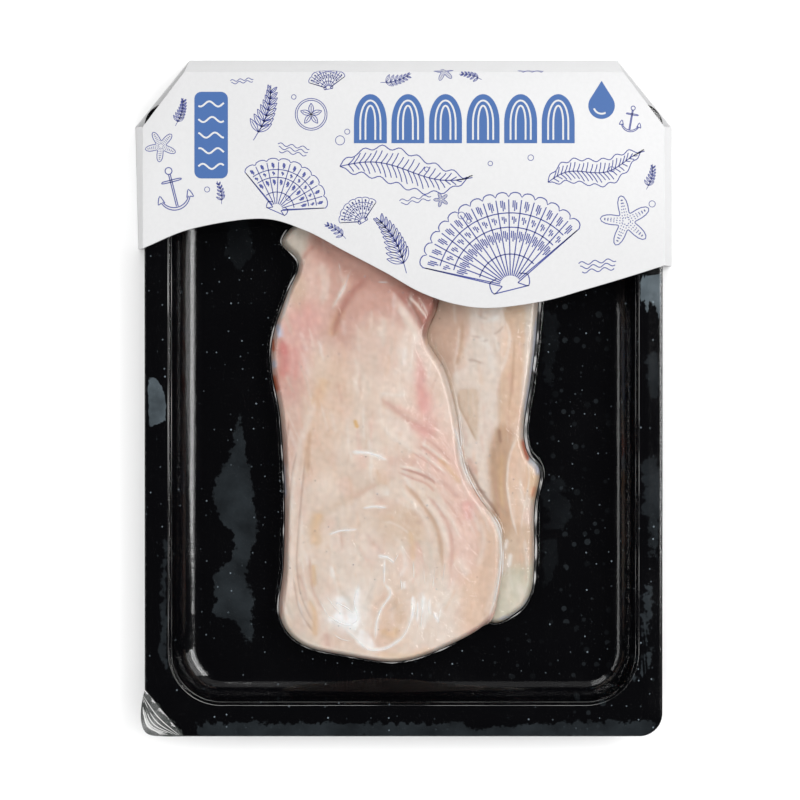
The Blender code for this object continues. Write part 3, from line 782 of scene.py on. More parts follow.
FRONT_STROKES = [
    # colour, half width in mm, strength, rise, line
    ("grey_beige", 1.2, 0.6, 0.3, [(-37.5, 57), (-36.5, 52), (-37, 48)]),
    ("deep_rose", 0.8, 0.6, -0.3, [(-35.5, 47), (-33.5, 50), (-31, 52)]),
    ("white", 0.5, 0.6, 0, [(-36.5, 46), (-39.5, 38), (-41.5, 30), (-43, 26)]),
    ("pale", 1.6, 0.5, 0.1, [(-29, 46), (-27, 40), (-28, 32)]),
    # Pale streaks with painted highlight on them, where the film glints, down to the white stroke.
    ("pale", 0.9, 0.5, 0.2, [(-22.6, 46), (-22, 43), (-21, 39)]),
    ("pale", 0.9, 0.6, 0.25, [(-18, 43.5), (-20, 41), (-20.8, 37), (-22.6, 34), (-25, 30)]),
    ("white", 0.6, 0.4, 0.1, [(-20.6, 38), (-22.6, 34)]),
    ("deep_rose", 1.2, 0.6, -0.3, [(-13, 38.5), (-17, 36), (-20, 32), (-23, 27), (-24.6, 21)]),
    ("rose", 1, 0.6, 0.1, [(-12, 36.5), (-16, 34), (-19, 30), (-20.5, 26)]),
    ("ochre", 1.6, 0.35, 0, [(-21, 30), (-24, 25), (-25, 20)]),
    # Painted highlight: a glint of the film.
    ("pale", 0.8, 0.7, 0.1, [(-8.6, 39.3), (-5.4, 39.2)]),
    # Painted shadow of the sleeve's edge: a dark rose band and a shadow stroke just below it.
    ("deep_rose", 3, 0.65, 0, [(-33, 57), (-28, 50), (-22, 45), (-15, 40.5), (-6, 38), (2, 36.6)]),
    ("shadow", 2, 0.35, 0, [(-33, 55), (-28, 51), (-22, 46.4), (-15, 42), (-6, 39.4), (2, 38)]),
    ("deep_rose", 1.4, 0.6, 0, [(-43.8, 24), (-43.2, 14), (-43.6, 3)]),
    ("blood", 1.9, 0.6, 0, [(-42.4, 18), (-41.2, 12), (-42, 6)]),
    ("blood", 1.4, 0.5, 0, [(-42.5, 19), (-41, 14)]),
    ("blush", 1, 0.6, 0.1, [(-38, 18), (-35, 18.5), (-33, 17)]),
    ("blood", 1, 0.3, 0, [(-38.4, 17), (-37.4, 12), (-38, 5)]),
    ("pale", 0.5, 0.8, 0.15, [(2, 34), (5, 31), (8, 27)]),
    ("pale", 0.4, 0.7, 0.15, [(5, 34.5), (7, 31), (8.4, 28)]),
    ("shadow", 0.6, 0.6, -0.3, [(1, 34), (4, 29), (6.4, 24), (7.4, 18.4)]),
    ("peach", 0.7, 0.8, 0.3, [(12.4, 31), (10, 26), (8.6, 21), (8.2, 17)]),
    ("pale", 1.2, 0.7, 0.2, [(-1.6, 31), (0.4, 27), (3, 23), (5, 18)]),
    ("pale", 1, 0.5, 0.1, [(-8.6, 24), (-8, 20)]),
    ("pale", 0.8, 0.6, 0.1, [(-16.8, 13), (-16, 9), (-16.6, 4), (-15.6, 0)]),
    ("pale", 1.6, 0.5, 0, [(-3, 10), (-2, 4), (0, -2)]),
    ("blood", 1.5, 0.4, -0.1, [(4.6, 15), (6.4, 7), (5.4, 3), (6.8, -1), (6.2, -5)]),
    ("pink", 2.4, 0.5, 0, [(5, 10), (6.4, 1), (7.6, -7)]),
    ("pink", 3, 0.5, 0, [(7, 2), (8, -8), (10, -14)]),
    # Painted highlight: the film's pale line along the lap's edge.
    ("pale", 1.2, 0.6, 0.15, [(14, 8), (17.4, -4), (18.6, -12)]),
    ("ochre", 2, 0.45, 0, [(-27.5, 6), (-29, 1), (-31.4, -4)]),
    ("peach", 1.6, 0.6, 0, [(-28, 5), (-31, -6), (-33.6, -18), (-33.6, -27)]),
    ("deep_tan", 0.9, 0.5, -0.1, [(-32.4, -12), (-33.4, -20), (-33.4, -27)]),
    ("pale", 1.2, 0.6, 0.15, [(-30.6, -2), (-33.4, -10), (-36.4, -18), (-37.6, -28)]),
    ("mustard", 0.7, 0.85, 0, [(-16.9, -8.6), (-16.6, -10), (-16, -11.6)]),
    ("pale", 1.1, 0.85, 0.3, [(-8.4, -3), (-8.4, -8), (-5.6, -13), (0, -17), (5, -20.6)]),
    ("pale", 0.7, 0.85, 0.15, [(-8.4, 0.6), (-3, 0), (1, 0.6)]),
    ("rose", 1.2, 0.75, -0.2, [(-8, -1.4), (-3, -5), (2, -9), (7, -12), (12, -15)]),
    ("pink", 2.2, 0.55, 0, [(2.6, -10), (6.4, -12.6), (9, -15)]),
    ("blush", 1, 0.8, 0.2, [(-3, -3.6), (3, -6.6), (8, -8.4)]),
    ("rose", 0.5, 0.8, -0.15, [(5.6, -17.6), (10, -21), (15, -25)]),
    ("pale", 0.4, 0.8, 0.1, [(6, -16.4), (11, -20), (16, -24.4)]),
    ("rose", 0.5, 0.7, -0.15, [(7.4, -15), (12, -18.6), (16.4, -23.4)]),
    ("pale", 0.4, 0.7, 0.1, [(4, -18.6), (9, -22.4), (15, -27.4)]),
    ("rose", 0.4, 0.7, -0.1, [(3, -20), (8.4, -23.6), (14, -28)]),
    ("ochre", 1, 0.5, 0, [(12, -22), (16, -26), (20, -31)]),
    # Painted highlight: a glint of the film.
    ("white", 0.8, 0.6, 0.1, [(-17.6, -20), (-12, -20.4), (-6, -22.6)]),
    ("rose", 1.6, 0.4, 0, [(-6, -23.4), (-1, -22.4), (5, -23.6)]),
    ("wine", 0.45, 0.7, -0.2, [(-1, -25.6), (4, -27), (9, -29.2), (11, -31)]),
    ("pale", 0.5, 0.8, 0.15, [(-1.4, -24.8), (4, -25.8), (9, -27.8), (13, -31)]),
    ("rose", 0.5, 0.7, -0.1, [(-2, -26.8), (3, -29), (8, -31), (11, -34)]),
    ("rose", 1, 0.5, 0, [(6, -26), (14, -31), (20, -37)]),
    ("tan", 2.4, 0.42, -0.15, [(-32, -45), (-25, -40.4), (-17, -36.4), (-10, -31.6), (-4, -29)]),
    ("pale", 1.8, 0.5, 0.1, [(-29, -43.6), (-20, -39.6), (-12, -34.6), (-5, -31.6)]),
    ("rose", 1, 0.3, 0, [(-18, -36), (-9, -31)]),
    ("ochre", 2.2, 0.55, 0, [(-29, -41), (-31, -46), (-30, -53)]),
    ("deep_tan", 1, 0.7, -0.2, [(0.6, -31.4), (4, -35), (8, -40), (11.4, -46), (13, -53), (13.6, -60)]),
    ("pale", 0.9, 0.7, 0.2, [(-1, -32.6), (3.4, -38), (7.6, -44), (9.4, -51)]),
    ("white", 0.7, 0.5, 0.1, [(-6.4, -32.6), (-5.4, -35)]),
    ("pale", 0.8, 0.7, 0.2, [(6, -36), (11, -42), (14.6, -50), (15, -58)]),
    ("rose", 0.8, 0.65, -0.1, [(8, -35), (12.4, -40), (16, -47), (17, -55), (16, -62)]),
    ("pale", 0.8, 0.6, 0.1, [(12, -38), (17, -44), (19.6, -50)]),
    ("rose", 0.5, 0.5, 0, [(14, -36), (18, -41), (21, -47)]),
    ("tan", 2.4, 0.45, 0, [(1, -40), (4, -46), (4.6, -52)]),
    ("ochre", 1, 0.4, 0, [(2, -47), (3, -52), (3.4, -58)]),
    ("pink", 2.2, 0.6, 0, [(22, -37), (22.6, -44)]),
    ("pale", 2, 0.6, 0.1, [(18.6, -57), (21, -61), (23, -62)]),
    ("pale", 1, 0.5, 0.1, [(27, -44), (28, -52), (26, -60)]),
    ("ochre", 1.2, 0.6, 0, [(-31.4, -59), (-31.4, -67)]),
    ("ochre", 1.3, 0.55, 0, [(-32.4, -71), (-31, -77), (-31, -85)]),
    ("tan", 1.8, 0.5, 0, [(-7, -71), (-2, -74), (-1, -80)]),
    ("ochre", 1.4, 0.5, 0, [(-8, -82), (-4, -83.6), (-2, -81)]),
    ("grey_beige", 1.2, 0.5, 0, [(-22, -68), (-19, -72), (-18, -76)]),
    # Painted highlights: the seven white strokes below are glints of the film over the swelling.
    ("white", 1, 0.5, 0.1, [(-25, -72), (-20, -75), (-17, -78)]),
    ("white", 0.9, 0.6, 0.1, [(-26, -78), (-20, -81), (-16, -85), (-12, -88.4)]),
    ("white", 0.8, 0.5, 0.1, [(-15.6, -66), (-17, -72), (-16.2, -78)]),
    ("white", 0.7, 0.6, 0.1, [(-12, -88.6), (-6, -88.2), (0, -84), (3, -77), (4, -71)]),
    ("white", 0.8, 0.5, 0.1, [(-6.4, -66), (-4.6, -69.4), (-8, -75), (-9.4, -81), (-9.8, -85)]),
    ("white", 1.2, 0.5, 0, [(6.6, -70), (8, -76), (6, -82)]),
    ("white", 1, 0.4, 0, [(12, -72), (13, -78)]),
    ("shadow", 0.5, 0.4, -0.4, [(-40.2, -10), (-41.2, -18), (-41, -26)]),
    ("shadow", 0.45, 0.42, -0.4, [(-37.4, -20), (-39, -28), (-40.2, -38), (-40.8, -50), (-41, -62),
                                  (-41.8, -76)]),
    ("rose", 1, 0.7, 0, [(-42, -10), (-41.8, -30), (-42, -50), (-42.8, -70), (-43.4, -80)]),
    ("pale", 1, 0.7, 0.3, [(-38, -24), (-38.8, -36), (-39, -50), (-39.4, -62), (-40, -74)]),
    ("shadow", 0.4, 0.32, -0.3, [(-34.2, -20), (-35.6, -34), (-36.8, -48), (-37.4, -60), (-35.6, -71),
                                 (-31, -81)]),
    ("pale", 0.8, 0.6, 0.2, [(-35.6, -40), (-35.8, -54), (-34.2, -66), (-29.6, -76)]),
    ("rose", 0.5, 0.4, 0, [(-33, -56), (-31.6, -68), (-27.6, -76)]),
    ("shadow", 0.4, 0.35, -0.2, [(-38.6, -64), (-36.4, -75), (-31.6, -83)]),
    ("grey_green", 2, 0.4, 0, [(-42, -82), (-36, -86.6), (-28, -89)]),
    ("pale", 1, 0.6, 0.1, [(-40, -83), (-30, -88), (-18, -90.6), (-6, -91.4), (6, -90.4), (18, -86)]),
    ("blush", 0.7, 0.6, 0, [(-30, -90), (-18, -91.8), (-8, -92.6)]),
    ("ochre", 1.4, 0.4, 0, [(-10, -90.6), (2, -91), (10, -89)]),
    ("pink", 0.7, 0.5, 0, [(31, -76), (29, -79.6), (22, -84)]),
    ("wine", 1.2, 0.6, -0.15, [(-12.5, 41), (-17, 37), (-20.5, 32), (-23, 26), (-24.6, 20.5)]),
    # Painted shadow: a dark rose band just below the sleeve's edge.
    ("deep_rose", 2.4, 0.6, 0, [(-10, 42), (-2, 40.5), (5, 37.5), (11, 33)]),
    ("wine", 1.2, 0.7, -0.1, [(0, 38.5), (5, 35), (9, 30), (10.5, 24)]),
    # Painted highlights: the glare strokes below are glints of the film on the flesh.
    ("glare", 0.45, 0.6, 0.1, [(-14, -39.4), (-10, -38.8), (-6, -39.3)]),
    ("glare", 0.42, 0.55, 0.1, [(-26, -48.8), (-22, -47.3), (-16, -46.9)]),
    ("glare", 0.5, 0.5, 0.1, [(-18, -19.8), (-12, -20.2), (-6, -22.4)]),
    ("glare", 0.6, 0.6, 0.1, [(-9, -56), (-5.5, -56.6), (-3.4, -58.4)]),
    ("glare", 0.35, 0.5, 0.1, [(-6.6, -57), (-6.8, -66)]),
    ("glare", 0.4, 0.4, 0.1, [(-6.5, -66), (-4.4, -69), (-8, -75), (-9.5, -80), (-10, -85.5)]),
    ("glare", 0.8, 0.6, 0.1, [(-15.8, -67), (-16.6, -74), (-15.8, -79)]),
    ("glare", 0.5, 0.35, 0.1, [(-21, -81), (-16, -85.5), (-12, -88.6), (-6, -88.2), (0, -84)]),
    ("glare", 0.8, 0.55, 0.1, [(0, -65), (0.4, -67.6)]),
    ("glare", 0.5, 0.7, 0.1, [(3.2, -70), (3, -78)]),
    ("glare", 0.4, 0.6, 0.1, [(5, -72), (4.8, -79)]),
    ("glare", 0.5, 0.6, 0.1, [(6.8, -70), (6.6, -76)]),
    ("glare", 0.4, 0.5, 0.1, [(9, -71), (9.4, -77)]),
    ("glare", 0.5, 0.6, 0.1, [(10.6, -76), (12.2, -79.4)]),
    ("fat", 1.2, 0.85, 0.1, [(-44.6, 25), (-43.4, 22), (-43.6, 20)]),
    ("fat", 1.1, 0.8, 0.1, [(-45.8, 12), (-45.2, 9.4)]),
    ("skin", 0.8, 0.9, 0, [(-46, 20), (-45.6, 15)]),
    ("skin", 1.4, 0.95, 0, [(-45.8, 7), (-45.4, 4), (-44.4, 1)]),
    ("fat", 0.8, 0.75, 0, [(-42.4, -24), (-42.2, -30), (-41.6, -36)]),
    # Painted highlights: the film's bright lines along the right edge.
    ("white", 1, 0.8, 0.2, [(17.6, -11), (19.6, -17), (21, -25), (24.6, -33)]),
    ("white", 0.6, 0.7, 0.1, [(30, -41), (33.4, -48), (34, -57), (32.6, -68), (30, -78)]),
]


def front_fibres(x, y):
    """The fibres' direction: along the fillet, fanning out, and round the swelling at its lower end."""
    round_knee = math.atan2(y + 60, x + 8) + math.pi / 2
    share = ramp(y, -26, -40) * ramp(x, -16, -2) * ramp(y, -84, -74)
    return math.pi / 2 * (1 - share) + round_knee * share - 0.012 * (x + 8) * (1 - share)


FRONT_STROKES = fibre_streaks(260, 41, coarse_front, front_fibres) + FRONT_STROKES
print("front fillet:", len(FRONT_AREAS), "areas,", len(FRONT_STROKES), "strokes")

# %% [markdown]
# The back fillet is tan, with a pale sheet of membrane down its middle, a tan groove beside it, a small lobe
# of flesh on the right and a greyer lower end. Painted shade runs along the front fillet's edge, and two
# painted highlights near its lower end stand for the film's glints.

# %% The back fillet's colours
BACK_AREAS = [
    ("tan", 3, 0.75, [(2, 50), (24, 44), (23, 30), (21, 18), (18, 6), (22, -10), (8, -10), (2, 20)]),
    ("rose", 4, 0.35, [(8, 40), (22, 38), (22, 22), (18, 8), (12, 10), (9, 24)]),
    ("pale", 0.7, 0.8, [(23.9, 31), (30, 31.6), (35.2, 30.6), (34.4, 24.3), (37.7, 20.1), (36.8, 12.8),
                        (33, 6.9), (32.3, -1.2), (33, -13), (29.8, -19.3), (30.5, -32.6), (31.4, -41),
                        (29.1, -39.2), (27.4, -32.6), (24.9, -24.5), (20.7, -19.3), (19.6, -11), (18.2, -3),
                        (17.3, 5.1), (18, 7.9), (22.1, 10.4), (21.4, 15.3), (22.8, 20.1), (23.5, 27.8)]),
    ("tan", 0.8, 0.6, [(19.4, 1.3), (22.6, 2.2), (26, 1.3), (26.2, -6), (25.6, -16.2), (21.8, -8.4),
                       (19.6, -4)]),
    ("tan", 1.2, 0.85, [(35.6, 31), (43, 30), (42.4, 12), (41.4, 0), (39, -8), (34, -12), (33.4, -2), (34, 6),
                        (37.8, 13), (38.6, 20), (35.4, 25)]),
    ("peach", 3, 0.7, [(34, 22), (43, 22), (42, 4), (40, -12), (34, -12), (35, 4)]),
    ("grey_beige", 1, 0.7, [(42.6, 30), (47, 30), (46.4, 10), (43.6, -8), (41.6, -8), (42.6, 8)]),
    ("deep_tan", 1.6, 0.9, [(33, -11), (38.4, -13), (37, -24), (36.6, -34), (38.4, -46), (35.4, -52),
                            (31, -42), (29.6, -26), (30.6, -16)]),
    ("pale", 1.6, 0.5, [(24, -20), (29, -18), (30, -28), (31, -38), (26, -32)]),
    ("peach", 0.6, 0.75, [(40, -14.4), (37.4, -21), (36.4, -31), (38, -42), (40, -49), (41.4, -46),
                          (42.4, -38), (44, -30), (44, -24), (42, -18)]),
    ("ochre", 1.4, 0.6, [(44, -24), (48, -26), (47.6, -34), (45.6, -38), (43.6, -32)]),
    ("tan", 2, 0.7, [(36, -48), (45, -46), (45, -60), (37, -62)]),
    ("grey_green", 2.4, 0.85, [(33, -62), (46, -60), (46, -72), (40, -79), (28, -82), (31, -70)]),
]
BACK_STROKES = [
    ("deep_tan", 0.5, 0.7, -0.2, [(26.2, 28.6), (27.4, 27), (29.2, 26.6)]),
    ("shadow", 0.4, 0.4, -0.2, [(23.6, 20.4), (26, 20.2), (27.4, 18.8), (29.6, 19.2)]),
    ("shadow", 0.4, 0.4, -0.2, [(22.4, 12.2), (25, 12), (27.6, 10.8)]),
    ("shadow", 0.4, 0.35, -0.2, [(31.4, 21.2), (33, 22), (35, 24.2)]),
    ("deep_tan", 0.7, 0.5, -0.2, [(20.6, 27), (20.4, 20), (19.4, 14), (18, 10)]),
    ("deep_tan", 0.4, 0.6, -0.2, [(19.2, 1), (19.6, -4), (22, -9), (25.4, -16)]),
    ("pale", 0.6, 0.5, 0.1, [(19.6, 24), (19, 17), (17.6, 11)]),
    ("white", 1, 0.45, 0.15, [(25, 28), (29, 26), (33.6, 27.4)]),
    ("white", 1.2, 0.35, 0.15, [(26, 20), (30, 16), (31, 8)]),
    ("pale", 0.5, 0.6, 0.1, [(35, 27), (37, 21), (36, 14), (33, 6), (31.6, -1)]),
    ("brown", 0.7, 0.45, 0, [(33.4, -12), (34, -17)]),
    ("deep_tan", 0.6, 0.6, -0.1, [(38.6, 20), (38, 6), (36.6, -6)]),
    ("ochre", 1, 0.4, 0, [(34.6, -20), (34, -30), (35, -40)]),
    ("pale", 0.4, 0.8, 0.3, [(40, -14.4), (37.2, -21), (36.2, -31), (37.8, -42), (39.8, -49)]),
    ("pale", 0.4, 0.5, 0.2, [(43.6, -24), (43.8, -30), (42, -40), (41, -47)]),
    # Painted shade: a brown line beside the front fillet's edge, over a shallow groove.
    ("brown", 0.6, 0.6, -0.3, [(21, -23), (24, -28), (27, -33.6), (30.6, -38.4), (33.4, -43)]),
    ("rose", 1.2, 0.6, 0, [(22.6, -22), (25.6, -28)]),
    ("shadow", 0.5, 0.5, -0.2, [(25, -33), (29, -34.4)]),
    # Painted highlights: two glints of the film.
    ("white", 0.6, 0.6, 0.1, [(36.4, -50.6), (35.4, -54)]),
    ("white", 0.8, 0.7, 0.1, [(37.6, -55.6), (36.8, -60.4)]),
    ("pale", 1, 0.6, 0, [(43.6, 26), (43, 12), (41.6, -4)]),
    ("fat", 0.9, 0.8, 0.1, [(46.6, 27), (46, 16), (44.6, 4), (42.6, -8)]),
    ("fat", 1.6, 0.85, 0.2, [(44, -22), (46.6, -24.6), (48, -28)]),
    ("white", 1, 0.6, 0.1, [(44.4, -22.6), (46.6, -25)]),
    ("skin", 0.9, 0.95, 0, [(41.8, -15.6), (42.6, -19), (43.8, -23)]),
    ("skin", 0.9, 0.4, 0, [(46, -32), (45, -36)]),
    ("pale", 1.4, 0.5, 0, [(40, -66), (42, -72), (38, -76)]),
    ("fat", 0.8, 0.5, 0, [(33, -79), (40, -77), (44.6, -71)]),
]
BACK_STROKES = fibre_streaks(110, 42, coarse_back, lambda x, y: math.pi / 2 + 0.1) + BACK_STROKES
print("back fillet:", len(BACK_AREAS), "areas,", len(BACK_STROKES), "strokes")

# %% [markdown]
# ## Flesh
# Raw fillet is soft and a little translucent, so the shader lets light scatter under the surface. Its colour
# is the painted attribute, broken up by fine fibres that also give the surface its slight grain.

# %% Flesh material
def flesh(name):
    """Soft wet flesh in the colours that its mesh carries."""
    made, tree, shader = new_material(name, Roughness=0.42, Subsurface_Weight=0.3, Subsurface_Scale=0.0012)
    painted = node(tree, "ShaderNodeAttribute", attribute_name="flesh_paint")
    fibres = node(tree, "ShaderNodeGroup", node_tree=FIBRES)
    patches = node(tree, "ShaderNodeGroup", node_tree=MOTTLING, Size=170)
    depth = node(tree, "ShaderNodeMapRange", Value=fibres, From_Min=0.5, From_Max=0.8, To_Max=0.45)
    product = {"data_type": "RGBA", "blend_type": "MULTIPLY"}
    darker = node(tree, "ShaderNodeMix", **product, Factor=depth, A=painted, B=(0.9, 0.8, 0.74, 1))
    warmer = node(tree, "ShaderNodeMix", **product, Factor=patches, A=darker, B=(0.97, 0.94, 0.92, 1))
    bump = node(tree, "ShaderNodeBump", Height=fibres, Strength=0.25, Distance=0.0002)
    fill(shader, Base_Color=warmer, Normal=bump, Subsurface_Radius=(1.0, 0.55, 0.4))
    return made


# %% [markdown]
# A fillet is made of rings that shrink from its outline to its spine: a few below for the flat underside, and
# many above. The painter gives each point its colour, and its relief raises or sinks the upper side.

# %% Fillet mesh
# How far towards the spine each ring of the underside lies, and the last ring of the upper side
UNDER_SHARES = (0.85, 0.5, 0.2, 0.06, 0.015)
TOP_REACH = 0.965
EDGE_LIFT = 1.0
# Height, size and seed of the noise that makes the flesh uneven
UNEVEN = ((0.1, 9, 11), (0.03, 3, 12))


def spine_points(spine, steps):
    """Where an outline's points shrink to: down the spine for its left side, and up it for its right."""
    down = np.linspace(0, 1, steps + 1)[:, None]
    middle = np.array(spine[0]) * (1 - down) + np.array(spine[1]) * down
    return np.concatenate([middle, middle[-2:0:-1]])


def make_fillet(name, outline, coarse, spine, under, top, areas, strokes, rings, replaced):
    """A closed fillet with its painted colour and its small relief."""
    middle = spine_points(spine, len(outline) // 2)
    places, heights = [], []
    for share in UNDER_SHARES:
        place = outline + share * (middle - outline)
        places.append(place)
        heights.append(under(place[:, 0], place[:, 1]))
    places.append(outline)
    heights.append(under(outline[:, 0], outline[:, 1]) + EDGE_LIFT)
    under_rings = len(places)
    shares = TOP_REACH * np.linspace(0, 1, rings + 1)[1:] ** 1.5
    for share in shares:
        place = outline + share * (middle - outline)
        places.append(place)
        edge = round_edge(inside_distance(coarse, place[:, 0], place[:, 1]), FISH_EDGE)
        heights.append(top(place[:, 0], place[:, 1], edge))
    flat = np.concatenate(places)
    color, relief = paint(flat[:, 0], flat[:, 1], "cream", areas, strokes)
    for rise, size, seed in UNEVEN:
        relief += rise * wavy_noise(flat[:, 0], flat[:, 1], size, seed)
    relief[:under_rings * len(outline)] = 0
    inside = np.concatenate([np.zeros(under_rings), shares])
    relief *= np.clip(np.repeat(inside, len(outline)) * 12, 0, 1)
    points = np.column_stack([flat, np.concatenate(heights) + relief])
    _, faces = strips([outline] * len(places))
    count = len(outline)
    faces += [face[::-1] for face in cap(0, count)]
    faces += cap(len(points) - count, count)
    piece = add_piece(name, leaned(points), faces, flesh(name + "_flesh"), replaced, sharp=80)
    attribute = piece.data.color_attributes.new("flesh_paint", "FLOAT_COLOR", "POINT")
    attribute.data.foreach_set("color", np.column_stack([color, np.ones(len(color))]).ravel())
    return piece


# %% [markdown]
# The two fillets differ in their outlines, their tops and their paint, and in what they rest on.

# %% Make the fillets
FRONT_RINGS, BACK_RINGS = 104, 74

front = make_fillet(
    "front_fillet", front_outline, coarse_front, FRONT_SPINE,
    lambda x, y: on_grid(under_height, x, y),
    lambda x, y, edge: front_top(x, y, edge, on_grid(under_height, x, y)),
    FRONT_AREAS, FRONT_STROKES, FRONT_RINGS, "fillet_front",
)
back = make_fillet(
    "back_fillet", back_outline, coarse_back, BACK_SPINE,
    lambda x, y: np.full(np.shape(x), FISH_BASE),
    lambda x, y, edge: back_top(x, y, edge),
    BACK_AREAS, BACK_STROKES, BACK_RINGS, "fillet_back",
)
print("fillet faces:", len(front.data.polygons), len(back.data.polygons))

# %% [markdown]
# ## The film
# The film is shrunk on by vacuum: it lies tight on the plastic and on the flesh, and bridges what is too
# sharp to follow, such as the foot of a fillet. Rolling a ball over the heights of what lies under it gives
# just that shape. The film over the tray and the film over the fish are two pieces that meet at the floor's
# edge, because the fish needs finer faces.

# %% Film heights
FILM_GAP, FILM_THICKNESS = 0.25, 0.12
FLOOR_HEIGHT = 0.8
covered = np.maximum(np.maximum(back_height, front_height), FLOOR_HEIGHT)
_, front_relief = paint(GRID_X.ravel(), GRID_Y.ravel(), "cream", [], FRONT_STROKES)
covered = covered + 0.7 * front_relief.reshape(covered.shape) * (front_inside > 2)
film_height = softened(rolled_ball(rolled_ball(covered, 1.5, 1), 1, -1), 1)
print("film top:", round(float(film_height.max()), 2))

# %% [markdown]
# Clear film is mostly transparent. What shows is its gloss, stronger at a slant, and a grey haze where it has
# come away from the black plastic, and two patches of that grey are painted glare. The shader mixes a
# transparent and a glossy part by Fresnel. The haze has crisp, ragged borders: the mesh carries each point's
# distance to a patch's outline, the shader adds noise to that distance and cuts it off sharply. Cells of a
# Voronoi texture give the bubbles and the dust.

# %% Film material
GLOSS_LIMIT = 0.1
# This much noise is added to a place's distance in millimetres, and haze and painted glare set in between
# these two sums
HAZE_NOISE, HAZE_START, HAZE_FULL = 7, 3.35, 3.85


def dots_group():
    """Round dots at random places, each of its own size and strength, as a mask from 0 to 1."""
    tree = mask_group("random_dots", Density=220.0, Radius=0.06, Share=0.5)
    given = node(tree, "NodeGroupInput").outputs
    flat = {"voronoi_dimensions": "2D"}
    cells = node(tree, "ShaderNodeTexVoronoi", **flat, Vector=object_place(tree), Scale=given["Density"])
    chance = node(tree, "ShaderNodeSeparateColor", cells.outputs["Color"]).outputs
    size = math_node(tree, "MULTIPLY", chance["Red"], given["Radius"])
    inside = math_node(tree, "LESS_THAN", cells.outputs["Distance"], size)
    chosen = math_node(tree, "LESS_THAN", chance["Green"], given["Share"])
    strength = math_node(tree, "MULTIPLY", inside, chance["Blue"])
    node(tree, "NodeGroupOutput", Mask=math_node(tree, "MULTIPLY", strength, chosen))
    return tree


def film_gloss(tree):
    """The clear film: transparent, with a gloss on its outer side that is crumpled over the fish."""
    place = object_place(tree)
    ripple = node(tree, "ShaderNodeTexNoise", Vector=place, Scale=260.0, Detail=3.0, Distortion=1.2)
    crumpled = math_node(tree, "MULTIPLY", math_node(tree, "ADD", carried(tree, "wrinkly"), 0.05), ripple)
    bump = node(tree, "ShaderNodeBump", Height=crumpled, Strength=0.7, Distance=0.0012)
    gloss = node(tree, "ShaderNodeBsdfGlossy", Roughness=0.07, Normal=bump)
    limited = math_node(tree, "MINIMUM", node(tree, "ShaderNodeFresnel", IOR=1.4), GLOSS_LIMIT)
    outside = math_node(tree, "SUBTRACT", 1, node(tree, "ShaderNodeNewGeometry").outputs["Backfacing"])
    shine = math_node(tree, "MULTIPLY", limited, outside)
    return node(tree, "ShaderNodeMixShader", shine, node(tree, "ShaderNodeBsdfTransparent"), gloss)


def film_haze_and_glare(tree):
    """How much haze, painted glare, dust and bubbles hide at each place, from 0 to 1."""
    place = object_place(tree)
    ragged = node(tree, "ShaderNodeTexNoise", Vector=place, Scale=420.0, Detail=5.0, Roughness=0.65)
    torn = math_node(tree, "MULTIPLY_ADD", ragged, HAZE_NOISE, carried(tree, "haze_and_glare_edge"))
    smooth = {"interpolation_type": "SMOOTHSTEP"}
    cut = node(tree, "ShaderNodeMapRange", **smooth, Value=torn, From_Min=HAZE_START, From_Max=HAZE_FULL)
    amount = math_node(tree, "MULTIPLY", cut, carried(tree, "haze_and_glare_level"))
    clouds = node(tree, "ShaderNodeTexNoise", Vector=place, Scale=90.0, Detail=4.0, Roughness=0.6)
    uneven = node(tree, "ShaderNodeMapRange", clouds, 0.35, 0.65, 0.45, 1.0)
    thinned = math_node(tree, "MULTIPLY", amount, uneven)
    dust = node(tree, "ShaderNodeGroup", node_tree=DOTS, Density=230, Radius=0.07)
    dusty = math_node(tree, "MULTIPLY_ADD", dust, 0.25, thinned)
    bubbles = node(tree, "ShaderNodeGroup", node_tree=DOTS, Density=260, Radius=0.3)
    return math_node(tree, "ADD", dusty, math_node(tree, "MULTIPLY", bubbles, carried(tree, "bubbly")))


def film_material():
    """Clear film with a grey haze and painted glare over it, which is darker where the film is loose."""
    made, tree, shader = new_material("clear_skin_film", Roughness=0.3)
    tint = node(tree, "ShaderNodeMix", data_type="RGBA", Factor=carried(tree, "smoky"),
                A=(0.37, 0.46, 0.52, 1), B=(0.035, 0.04, 0.038, 1))
    fill(shader, Base_Color=tint)
    hazy = node(tree, "ShaderNodeMixShader", film_haze_and_glare(tree), film_gloss(tree), shader)
    fill(tree.nodes["Material Output"], Surface=hazy)
    return made


DOTS = dots_group()
FILM = film_material()
print("film material:", FILM.name)
